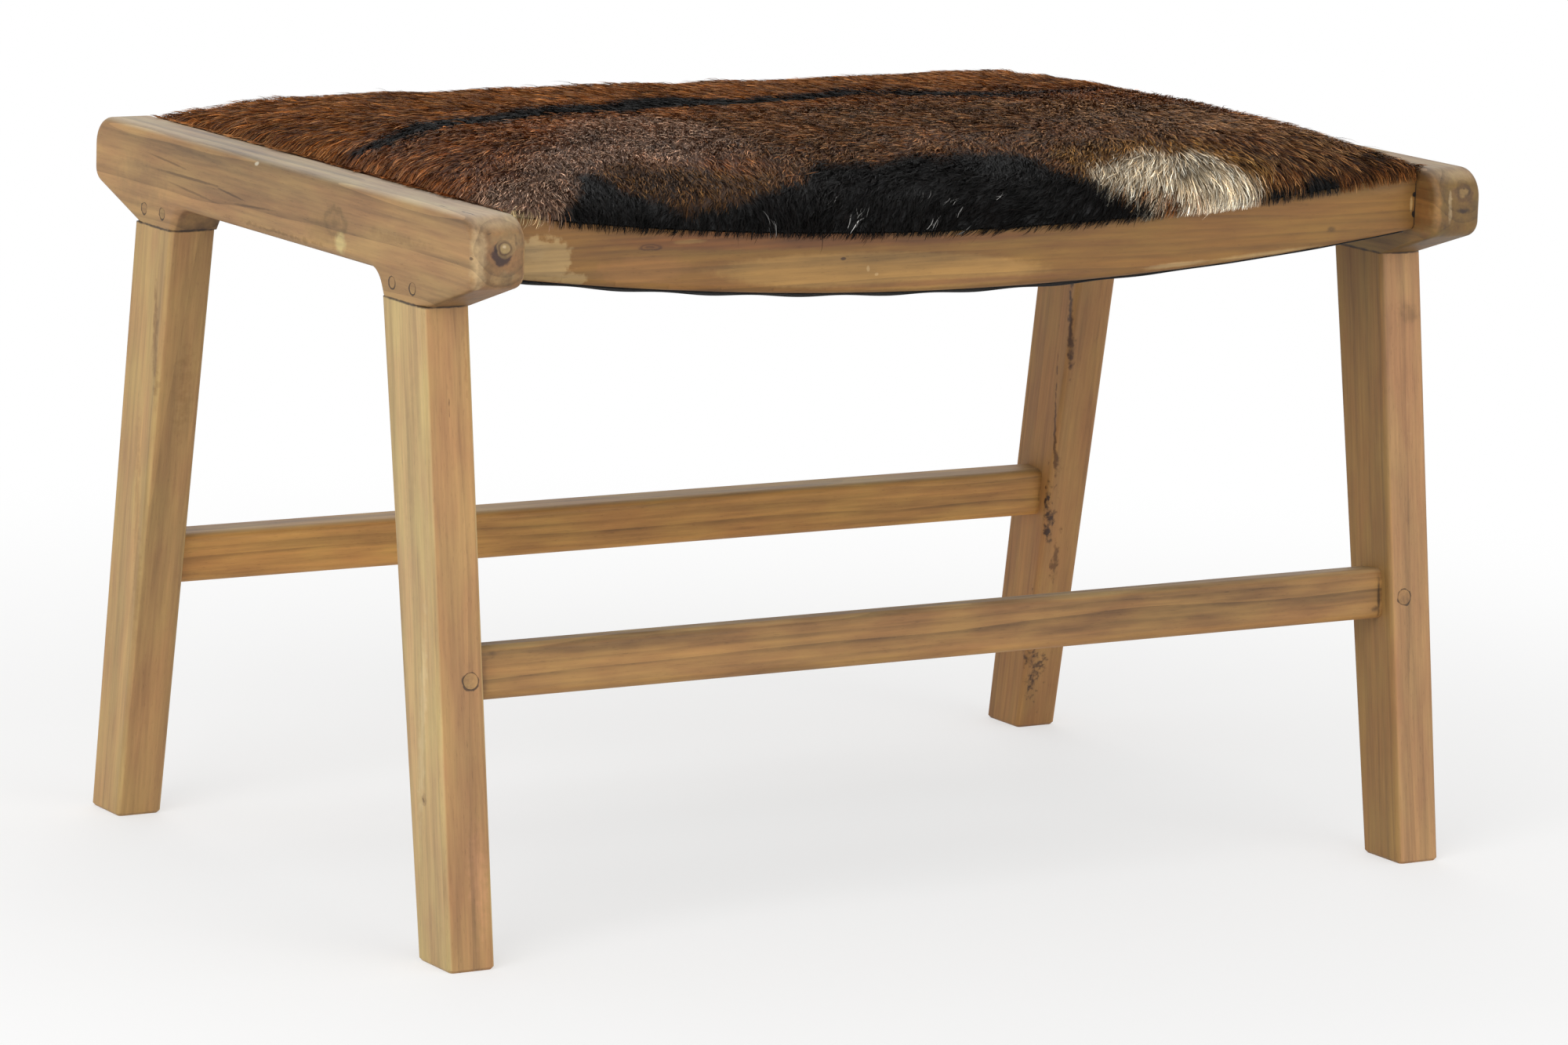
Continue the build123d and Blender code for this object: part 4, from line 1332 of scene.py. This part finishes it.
@dataclass(frozen=True)
class UnderCloth:
    """The black lining cloth, stapled up under the rails, which sags a little between them.

    Attributes:
        form: the seat's form.
        margin: how far its edges stand back from the rails' outer faces, in mm.
        drop: how far it lies below the rails, in mm.
        sag: how far it hangs at its middle, in mm.
        hem_drop: how far its front hem droops, in mm.
        rail_thickness: its thickness, in mm.
        staple_pitch: the distance from staple to staple, in mm.
        thickness: the cloth's thickness, in mm.
        crown: the width of a staple, in mm.
        wire: the width of its wire, in mm.
        leg: how far its legs go up into the rail, in mm.
        shoulder: the radius of its shoulders beside the wire's width.
        bite: how far its bar presses into the cloth beside that.
        columns: how many cells the cloth has along the stool.
        rows: how many cells it has between the rails.
        hem_rows: how many cells it has on each rail.
    """

    form: SeatForm
    margin: float = 4.0
    drop: float = 0.5
    sag: float = 4.0
    hem_drop: float = 1.3
    rail_thickness: float = 22.0
    staple_pitch: float = 52.0
    thickness: float = 0.3
    crown: float = 10.0
    wire: float = 1.0
    leg: float = 6.0
    shoulder: float = 0.8
    bite: float = 0.1
    columns: int = 180
    rows: int = 40
    hem_rows: int = 6

    # The hem droops at least so much at a staple, in full up to this place along the stool, and then less and less
    # over the next mm, down to a least share.
    stapled, droop_end, droop_run, droop_least = 0.35, 40.0, 120.0, 0.15

    def height(self, x: np.ndarray, y: np.ndarray) -> np.ndarray:
        """Gives the height of the cloth at x and y. Its hem droops between the staples, most on the left."""
        form = self.form
        inside = form.half_depth - self.rail_thickness
        radius, centre = form.arc(RAIL_HEIGHT)
        low = centre - np.sqrt(radius**2 - x**2)
        free = np.clip(1 - (np.abs(y) / inside) ** 2, 0, 1)
        ends = np.clip(1 - (np.abs(x) / form.half_length) ** 4, 0, 1)
        pucker = 0.5 + 0.5 * np.cos(math.tau * x / self.staple_pitch)
        edge = np.clip(np.abs(y) - inside, 0, None) / (self.rail_thickness - self.margin)
        side = np.clip(1 - (x - self.droop_end) / self.droop_run, self.droop_least, 1)
        droop = self.hem_drop * (self.stapled + (1 - self.stapled) * pucker) * edge * side
        return low - self.drop - self.sag * free * ends - droop

    def build(self, cloth: bpy.types.Material, steel: bpy.types.Material) -> None:
        """Makes the cloth and its staples, each in its finish."""
        form = self.form
        inside = form.half_depth - self.rail_thickness
        xs = np.linspace(-1, 1, self.columns + 1) * (form.half_length - self.margin)
        outer = np.linspace(inside, form.half_depth - self.margin, self.hem_rows + 1)[1:]
        ys = np.concatenate([-outer[::-1], np.linspace(-1, 1, self.rows + 1) * inside, outer])
        x, y = np.meshgrid(xs, ys, indexing="ij")
        z = self.height(x, y)
        points = np.stack([x, y, z], axis=2).reshape(-1, 3)
        piece = new_mesh("lining", points, grid_faces(*x.shape), cloth)
        piece.modifiers.new("thickness", "SOLIDIFY").thickness = self.thickness * MM
        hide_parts("under_cloth")
        row, column = (size // 2 for size in x.shape)
        width = float(np.hypot(np.diff(y[row]), np.diff(z[row])).sum())
        length = float(np.hypot(np.diff(xs), np.diff(z[:, column - 3])).sum())
        LOG.info("the lining is cut %.0f x %.0f mm", width, length)
        self._staples(steel)

    def _staples(self, steel: bpy.types.Material) -> None:
        """Makes the staples that hold the cloth to the rails, as one piece in the steel's finish."""
        outline = self._wire_outline()
        count = len(outline)
        points, faces = [], []
        for side in (-1, 1):
            for step in range(-4, 5):
                x, y = (step + 0.5 * side) * self.staple_pitch, side * (self.form.half_depth - self.rail_thickness / 2)
                if abs(x) > self.form.half_length - 2 * self.crown:
                    continue
                first = len(points)
                for across in (-self.wire / 2, self.wire / 2):
                    for along, up in outline:
                        base = float(self.height(np.array([x + along]), np.array([y]))[0])
                        points.append((x + along, y + across, base + up))
                faces += [range(first, first + count), range(first + 2 * count - 1, first + count - 1, -1)]
                for k in range(count):
                    follow = (k + 1) % count
                    faces.append((first + follow, first + k, first + count + k, first + count + follow))
        new_mesh("lining_staples", np.array(points), faces, steel)

    def _wire_outline(self) -> list[Pair]:
        """Draws a staple from the side: a bar with round shoulders and two legs that go up into the rail."""
        half, wire, radius = self.crown / 2, self.wire, self.shoulder * self.wire
        outer = [(half, self.leg)]
        for angle in np.linspace(0, -math.pi / 2, 5):
            outer.append((half - radius + radius * math.cos(angle), -wire + radius + radius * math.sin(angle)))
        outer += [(-x, up) for x, up in reversed(outer)]
        inner, bar = half - wire, -self.bite * wire
        return outer + [(-inner, self.leg), (-inner, bar), (inner, bar), (inner, self.leg)]


class Side(Enum):
    """The stool's two ends, with the sign of their X."""

    LEFT = -1
    RIGHT = 1


class End(Enum):
    """The stool's front and back, with the sign of their Y."""

    FRONT = -1
    BACK = 1


# The colours of the dark line at a joint, and of the rim of a peg's hole.
SEAM, RIM = "#23160c", "#37230f"

# What the boards show at single places: knots, cracks, pegs' rims and ends, sapwood, stains and worn spots, and a few
# painted highlights where light catches a rounded corner or a face. Each
# line is a mark: its place, its reach, its colour, then depth, fade, ragged, rings and tilt.
MARKS = {
    # In the left end rail, the pale band #b39a72 down the rounded front left corner and the small pale spot #ccb38f in
    # the middle of the front end's rings are painted highlights.
    "end_rail_left": """
        -297 -207 352  5 7 22  #b39a72  0.6 0.6 0.5
        -284 -210 341  16 4 7  #9a8058  0.6 0.7 0.6
        -281 -210 362  13 4 9  #7b6340  0.7 0.5 0.6
        -285 -210 354.8  7.2 4 6.8  #37221c  0.95 0.2 0.3
        -283 -210 357.8  6.6 3 6.4  #876a43  0.97 0.2 0.2
        -283.8 -210 357.2  4.6 3 4.4  #553a22  0.9 0.25 0.2
        -283.5 -210 357.3  3.6 3 3.4  #a08556  0.95 0.3 0.2
        -284 -210 358.2  1.4 3 1.2  #ccb38f  0.8 0.6
        -291.5 -210 364.5  5.5 3 0.8  #3d2b1a  0.85 0.5 0.8 0  -8 0
        -277.5 -210 361  1.2 3 6  #4d3822  0.6 0.6 0.9
        -293 -189 372.5  0.8 10 3  #2c1f14  0.95 0.5 0.9
        -293 -163 372.5  0.6 6 3  #3a2a1c  0.8 0.5 0.9
        -300 -66 351.5  4 17 10.5  #785c34  0.7 0.4 0.3 2
        -300 -72 341.5  4 7 6.5  #b8a46e  0.85 0.6 0.5
        -300 -50 345  4 20 12  #836439  0.5 0.8 0.6
        -300 98 352.4  4 48 1  #5e4428  0.7 0.6 0.3
        -300 48 350.2  4 22 0.8  #5a3f24  0.8 0.6 0.3 0  0 5
        -300 92 345.6  4 34 0.9  #64492a  0.65 0.7 0.3 0  0 4
        -300 24 347  4 34 0.8  #5b4024  0.7 0.7 0.3 0  0 -3
        -300 120 358  4 30 0.8  #644a2c  0.7 0.7 0.3 0  0 4
        -300 -130 352  4 45 3  #7f6138  0.5 0.8 1
        -300 -4 338  4 60 1.6  #725529  0.6 0.8 1.4
        -300 150 344  4 40 16  #866a45  0.5 0.8 0.8
        -300 -205 352.5  4 2 1  #4b3320  0.8 0.5
        -300 21 369.4  4 2.6 1.3  #ecdfc4  0.9 0.5 0.4
    """,
    "end_rail_right": """
        288 -210 361  9 4 9  #66492a  0.7 0.4 0.6
        288.4 -210 361.6  6.8 4 7.6  #2b1c10  0.9 0.22 0.5 1
        288 -210 361.2  4.2 3 4.6  #8d6f42  0.9 0.4 0.5
        288.2 -210 362.6  1.6 3 1.2  #3a2616  0.9 0.5 0.8
        287.8 -210 350.8  5 3 2.4  #37251a  0.9 0.6 0.8
        296.5 -210 350  4 4 16  #66502e  0.6 0.7 0.6
        279.5 -210 353  1.6 3 13  #b9a079  0.6 0.7 0.8
        276.5 -210 340  6 3 8  #4f3822  0.75 0.7 0.9
        283 -210 336  10 3 3.5  #3e2b19  0.7 0.7 0.9
        271 -196 352  4 16 22  #7b4a20  0.6 0.8 0.7
        272.5 -210 352  2.5 16 22  #8c6537  0.7 0.7 0.7
    """,
    "leg_front_left": """
        -300 -171.4 81  3 2.8 3.6  #5e4124  0.85 0.6 0.7 1.5
        -300 -168 120  3 5 70  #cbb588  0.5 0.8 0.8
        -300 -150 250  3 6 60  #ae9263  0.6 0.8 0.8
        -282 -196 60  7 6 70  #bd8a60  0.6 0.8 0.8
        -278 -160 290  1 8 26  #8a6238  0.6 0.8 1
        -288 -170 276  0.6 8 7  #2e1d10  0.85 0.6 0.8
    """,
    "leg_front_right": """
        286 -178 60  6 6 60  #b58a60  0.4 0.8 0.8
        291 -165 290  12 6 8  #7d5d38  0.6 0.8 0.8
        279 -160 240  2 8 60  #7e5c36  0.6 0.8 1
        287 -165 190  4 8 60  #bb9068  0.45 0.8 1
    """,
    "leg_back_left": """
        -274 134 243  6 3.5 13  #28180e  0.95 0.45 0.8
        -276 131 255  3 1.3 8  #d2b98c  0.8 0.5 0.6
        -300 132 262  4 4 40  #7c5a32  0.7 0.8 0.8
        -300 150 150  4 5 90  #8f6c40  0.5 0.8 0.8
        -284 128 200  8 6 90  #7f5c34  0.5 0.8 0.9
    """,
    "leg_back_right": """
        274 131 232  6 2.6 62  #3d2212  0.9 0.7 1.2
        274 147 118  6 3.2 34  #2f190d  0.95 0.6 1.5
        274 142 170  6 1.4 60  #48290f  0.8 0.7 1.2
        280 161 30  8 5 26  #341d11  0.9 0.8 2
        276 158 66  5 4 18  #3d2414  0.8 0.8 2
        288 120 250  6 6 90  #77582f  0.4 0.8 0.8
        284 151 97  3 5 22  #553517  0.8 0.7 1.4
        279 157 33  3 5 12  #45280f  0.8 0.7 1.4
    """,
    # In the front seat rail, the two pale bands #a8895c and #a98959, turned by -3 degrees low on the right half, are a
    # painted highlight where the lower part of the face catches the light.
    "seat_rail_front": """
        -58 -190 333  108 4 10.5  #98723c  0.95 0.22 0.1 0  2.4 0
        -128 -190 352  100 3 6.5  #7a4821  0.75 0.45 0.12 0  1.6 0
        -196 -190 340  34 3 9  #906235  0.55 0.5 0.3
        -254 -190 346  20 3 14  #a68858  0.85 0.2 0.45
        -236 -190 336  10 3 5  #a68858  0.8 0.3 0.6
        -260 -190 353  14 3 8  #ac8f62  0.6 0.8 0.4
        -170 -190 352.8  12 2 1.5  #a07a43  0.6 0.6 0.3
        -12 -190 347.4  80 3 3.2  #7b4a23  0.65 0.7 0.2
        -191.9 -190 351  9 2 2.2  #512e15  0.85 0.4 0.25 2
        -80.7 -190 340.2  2.2 2 1.1  #42260f  0.9 0.5 0.3
        -66 -190 334.5  1.2 2 2  #b69565  0.8 0.5 0.3
        -61 -190 331.5  1.4 2 1  #b69565  0.7 0.5 0.3
        -20 -190 325.6  120 3 2.6  #6f4220  0.6 0.8 0.2
        60 -190 341  46 3 3  #704820  0.5 0.7 0.3
        120 -190 327.5  26 3 1.8  #a8895c  0.8 0.7 0.3 0  -3 0
        190 -190 330.8  64 3 2.4  #a98959  0.85 0.7 0.2 0  -3 0
        217.4 -190 341.6  3.6 2 2  #523a1a  0.8 0.4 0.3 1
        225 -190 333  50 3 1.4  #5e3d1c  0.6 0.7 0.2 0  -6 0
        150 -190 342  60 3 4  #7d5628  0.5 0.7 0.3 0  -4 0
        255 -190 362  18 3 5  #926c3b  0.5 0.7 0.3
        -270.8 -190 353  1.1 6 20  #23160c  0.9 0.5 0.35
        270.9 -190 353  0.9 6 20  #23160c  0.9 0.5 0.35
        270.3 -190 357.6  1.7 3 1.6  #090502  0.98 0.3 0.3
        270.3 -190 347.2  1.7 3 2  #090502  0.98 0.3 0.3
        268.4 -190 352.5  1.1 3 5  #ae8d5a  0.9 0.5 0.5
    """,
    "seat_rail_back": """
        60 190 338  9 3 3  #5f4223  0.8 0.5 0.6 2
        -140 190 336  90 3 5  #a98655  0.6 0.6 0.7
        150 190 345  70 3 4  #80572f  0.6 0.6 0.7 0  -3 0
        -270.8 190 353  1.1 6 20  #23160c  0.9 0.5 0.35
        270.9 190 353  0.9 6 20  #23160c  0.9 0.5 0.35
    """,
    "stretcher_front": """
        -266 -178 151  10 7 5  #3f2817  0.85 0.7 0.4
        -271 -178 141  5 9 20  #5e3f20  0.85 0.8 0.3
        -235 -178 152  24 5 2.2  #5e4023  0.7 0.8 0.9
        -150 -180 143  70 5 3.4  #6f4c28  0.6 0.8 0.9
        -200 -180 137  40 5 3  #a98355  0.6 0.8 0.9
        -90 -180 137  60 5 2.4  #5f3f20  0.5 0.8 0.9 0  3 0
        200 -178 147  40 5 2.2  #61411f  0.6 0.8 0.9
        60 -180 132  80 5 2.6  #a17c4c  0.6 0.8 0.9
        270 -178 134  5 6 3  #1d120a  0.9 0.5 0.4
        272 -178 141  1.4 10 16  #23160c  0.8 0.6 0.4
        -273 -178 141  1.6 10 16  #23160c  0.8 0.6 0.4
    """,
    "stretcher_back": """
        -180 160 143  60 5 4  #b98560  0.5 0.8 0.8
        40 160 146  90 5 2.6  #80572c  0.5 0.8 0.8
        -273 166 141  1.6 14 16  #23160c  0.8 0.6 0.4
        273 166 141  1.6 14 16  #23160c  0.8 0.6 0.4
    """,
}


@dataclass(frozen=True)
class Frame:
    """The teak frame, whose boards are dressed one by one. All places are in mm.

    Attributes:
        steel: the finish of the screws and staples.
        slope: how far a leg leans inwards for each mm of its height.
    """

    steel: bpy.types.Material
    slope: float = 0.132

    # In the back right quarter: the shoulder of the leg, the rim of its peg's hole, and the start of its pith, with
    # the reach of the first two; then the rims of the haunch's peg holes: how far out they are, and their reach.
    shoulder, shoulder_reach = (287.0, 137.0, 322.0), (26, 46, 1.1)
    leg_rim, leg_rim_reach = (282.2, 186.0, 140.8), (5.2, 12, 5.2)
    leg_pith = (262.0, 232.0, 0.0)
    haunch_rims, haunch_rim_reach = (126.5, 147.5), (8, 3.8, 3.6)

    @staticmethod
    def _turned(place: Point, side: Side, end: End) -> Point:
        """Carries a place in the back right quarter to another quarter."""
        return (side.value * place[0], end.value * place[1], place[2])

    def joints(self, side: Side, ends: Sequence[End]) -> tuple[Mark, ...]:
        """Marks the dark lines where the legs' shoulders meet the haunches of an end rail."""
        places = [self._turned(self.shoulder, side, end) for end in ends]
        return tuple(Mark(place, self.shoulder_reach, SEAM, 0.9, 0.5, 0.35) for place in places)

    def rims(self, side: Side) -> tuple[Mark, ...]:
        """Marks the dark, uneven rims of the peg holes in an end rail."""
        places = [(side.value * 300.0, end.value * out + 0.3, 329.7) for end in End for out in self.haunch_rims]
        return tuple(Mark(place, self.haunch_rim_reach, RIM, 0.9, 0.12, 0.4) for place in places)

    def end_rails(self) -> dict[str, Timber]:
        """Describes the end rails, whose pith shows in their front ends."""
        # Each end rail's side, front and top colours are lit and shaded copies of its teak: painted light and shade.
        left = ("#9e7a50", "#7f5e3b", "#a78f70", (0, 1, 0), (-285, -209, 357), 1.7, 5.0, 1.6)
        right = ("#7a5b2f", "#6d5229", "#a2896a", (0, 1, 0), (288, -209, 361.5), 4.1, 4.6, 1.5)
        boards = {}
        for side, look in ((Side.LEFT, left), (Side.RIGHT, right)):
            word = side.name.lower()
            marks = self.joints(side, list(End)) + self.rims(side) + Mark.table(MARKS["end_rail_" + word])
            boards["end_rail_" + word] = Timber("teak, %s end rail" % word, *look, marks)
        return boards

    def legs(self) -> dict[str, Timber]:
        """Describes the four legs, whose grain follows their slope."""
        # Each leg's side and front colours differ as the light falls on its faces: painted light and shade, over the
        # wood's own tone.
        tones = (("#ba9d6e", "#a67e52"), ("#b08e5e", "#a17c50"), ("#946f41", "#a97f56"), ("#a27544", "#976e41"))
        boards = {}
        for number, (side, end) in enumerate((side, end) for side in Side for end in End):
            words = (end.name.lower(), side.name.lower())
            node = "leg_%s_%s" % words
            along, pith = (0.0, -end.value * self.slope, 1.0), self._turned(self.leg_pith, side, end)
            rim = Mark(self._turned(self.leg_rim, side, end), self.leg_rim_reach, RIM, 0.85, 0.12, 0.35)
            marks = (*Mark.table(MARKS[node]), *self.joints(side, [end]), rim)
            look = (*tones[number], "#a8916f", along, pith, 6.3 + 2.9 * number, 5.5, 1.0)
            boards[node] = Timber("teak, %s %s leg" % words, *look, marks)
        return boards

    def rails(self) -> dict[str, Timber]:
        """Describes the two sagging seat rails and the two stretchers."""
        looks = {
            "seat_rail_front": ("front seat rail", "#845c2f", "#805a29", "#947549", (0, -170, 300), 11.2, 5.2, 1.4),
            "seat_rail_back": ("back seat rail", "#957144", "#97723f", "#a88e66", (0, 172, 296), 14.9, 5.2, 1.4),
            "stretcher_front": ("front stretcher", "#957144", "#956d3f", "#a1825a", (0, -160, 110), 17.3, 5.0, 2.0),
            # The back stretcher is painted lighter: painted light that makes up for the shade it stands in under the
            # seat.
            "stretcher_back": ("back stretcher", "#b18349", "#b78547", "#a98657", (0, 175, 112), 20.8, 5.0, 1.4),
        }
        return {
            node: Timber("teak, " + name, side, front, top, (1, 0, 0), *rest, Mark.table(MARKS[node]))
            for node, (name, side, front, top, *rest) in looks.items()
        }

    def dress(self) -> None:
        """Gives each wooden node its timber, and the screws and staples their steel."""
        for node, timber in {**self.end_rails(), **self.legs(), **self.rails()}.items():
            self._finish([node], timber.build())
        peg = Timber("teak pegs, end grain", "#94734a", "#9b774c", "#94734a", (0, 1, 0), (0, 0, 141), 2.2, 2.0, 1.4)
        block = Timber("mahogany blocks", "#8d653d", "#8d653d", "#977148", (0, 1, 0), (0, 0, 300), 3.3, 3.4, 0.8)
        self._finish(["haunch_pegs", "stretcher_pegs"], peg.build())
        self._finish([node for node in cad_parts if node.startswith("corner_block")], block.build())
        self._finish(["block_screws", "webbing_staples"], self.steel)

    @staticmethod
    def _finish(nodes: Sequence[str], material: bpy.types.Material) -> None:
        """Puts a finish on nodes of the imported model."""
        for node in nodes:
            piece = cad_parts[node]
            if not piece.material_slots:
                piece.data.materials.append(material)
            for slot in piece.material_slots:
                slot.material = material
            LOG.info("%s: %s", node, material.name)


@dataclass(frozen=True)
class Studio:
    """A plain pale studio with soft light, and the camera.

    Attributes:
        camera: the camera's place, in metres.
        lens: its focal length on the 36 mm wide sensor, in mm.
        yaw: how far it is turned to the right of +Y, in radians.
        pitch: how far it looks down, in radians.
        roll: how far it is tilted, in radians.
        sky: how strongly the white surroundings light the stool.
        floor_half: half the length of the floor's sides, in metres.
        floor_fade: how far from the stool, in metres, the floor begins to fade to plain white, and ends.
        floor_glow: how much of the white shows near the stool.
        lamps: each lamp's name, its place and the length of its sides, in metres, and its power, in watts.
        aim: the place that the lamps look at, in metres.
    """

    camera: Point = (-1.830635, -2.971463, 0.810545)
    lens: float = 153.58
    yaw: float = 0.553905
    pitch: float = 0.181860
    roll: float = 0.0332015
    sky: float = 0.60
    floor_half: float = 9.0
    floor_fade: Pair = (0.35, 1.15)
    floor_glow: float = 0.55
    lamps: Sequence[tuple[str, Point, float, float]] = (
        ("key", (-2.6, -1.6, 1.9), 2.2, 46.0), ("fill", (0.9, -3.2, 1.0), 2.6, 34.0),
        ("back", (0.9, 2.6, 2.4), 2.2, 20.0),
    )
    aim: Point = (0.0, 0.0, 0.25)

    white = (1.0, 1.0, 1.0, 1.0)

    def build(self) -> None:
        """Sets up the floor, the lights, the surroundings and the camera."""
        self._floor()
        self._sky()
        for lamp in self.lamps:
            self._lamp(*lamp)
        self._camera()
        bpy.context.scene.view_settings.view_transform = "Standard"

    @staticmethod
    def _rays(graph: Graph, *kinds: str) -> Any:
        """Tells whether the ray is of one of the given kinds: 1 if so, else 0."""
        first, *rest = (graph.add("LightPath", {}, "Is %s Ray" % kind) for kind in kinds)
        for other in rest:
            first = graph.math("MAXIMUM", first, other)
        return first

    @staticmethod
    def _link(name: str, data: bpy.types.ID) -> bpy.types.Object:
        """Puts a new object into the scene."""
        piece = bpy.data.objects.new(name, data)
        bpy.context.scene.collection.objects.link(piece)
        return piece

    def _floor(self) -> None:
        """Lays a pale floor that keeps the stool's shadow and fades to plain white."""
        half = self.floor_half
        mesh = bpy.data.meshes.new("floor")
        mesh.from_pydata([(-half, -half, 0), (half, -half, 0), (half, half, 0), (-half, half, 0)], [], [(0, 1, 2, 3)])
        material = bpy.data.materials.new("pale floor")
        graph = Graph(material)
        metres = graph.metres()
        colour = graph.mix(graph.noise(metres, 2.0, 0.6), linear("#f5f5f4"), linear("#fbfbfa"))
        paint = graph.add("BsdfPrincipled", {"Base Color": colour, "Roughness": 0.9, "Specular IOR Level": 0.1})
        fade = graph.remap(graph.vector("LENGTH", metres), self.floor_fade, (self.floor_glow, 1.0), smooth=True)
        share = graph.math("MULTIPLY", fade, self._rays(graph, "Camera", "Glossy"))
        shader = graph.add("MixShader", {0: share, 1: paint, 2: graph.add("Emission", {"Color": self.white})})
        graph.add("OutputMaterial", {"Surface": shader})
        mesh.materials.append(material)
        self._link("floor", mesh)

    def _sky(self) -> None:
        """Makes the surroundings white to look at, and gentler as a light."""
        world = bpy.data.worlds.new("studio")
        bpy.context.scene.world = world
        graph = Graph(world)
        strength = graph.remap(self._rays(graph, "Camera", "Glossy", "Transmission"), wanted=(self.sky, 1.0))
        graph.add("OutputWorld", {"Surface": graph.add("Background", {"Color": self.white, "Strength": strength})})

    def _lamp(self, name: str, place: Point, size: float, power: float) -> None:
        """Hangs a soft square lamp that looks at the stool."""
        lamp = bpy.data.lights.new(name, "AREA")
        lamp.size = size
        lamp.energy = power
        piece = self._link(name, lamp)
        piece.location = place
        piece.rotation_euler = (Vector(self.aim) - Vector(place)).to_track_quat("-Z", "Y").to_euler()

    def _camera(self) -> None:
        """Places the camera as the photograph's stood."""
        view = bpy.data.cameras.new("camera")
        view.lens = self.lens
        view.sensor_width = 36.0
        view.sensor_fit = "HORIZONTAL"
        piece = self._link("camera", view)
        turn = Matrix.Rotation(-self.yaw, 4, "Z") @ Matrix.Rotation(math.pi / 2 - self.pitch, 4, "X")
        piece.matrix_world = Matrix.Translation(self.camera) @ turn @ Matrix.Rotation(self.roll, 4, "Z")
        bpy.context.scene.camera = piece


def main() -> None:
    """Builds the stool's looks, one sub-assembly after the other."""
    logging.basicConfig(level=logging.INFO, format="%(name)s: %(message)s")
    steel = ZincSteel().build()
    Studio().build()
    Frame(steel).dress()
    form = SeatForm.from_frame()
    points, flat = Skin(form).build(Pattern(), GoatHide().build())
    Coat(form, points, flat).build(GoatHair().build())
    FoamPad(form).build(Foam().build())
    Webbing(form).build(Cloth("jute and elastic webbing", "#6a5c4a", "#2e261e", 1.4).build())
    UnderCloth(form).build(Cloth("black lining cloth", "#2a2a2b", "#0a0a0a", 0.7).build(), steel)


if __name__ == "__main__":
    main()
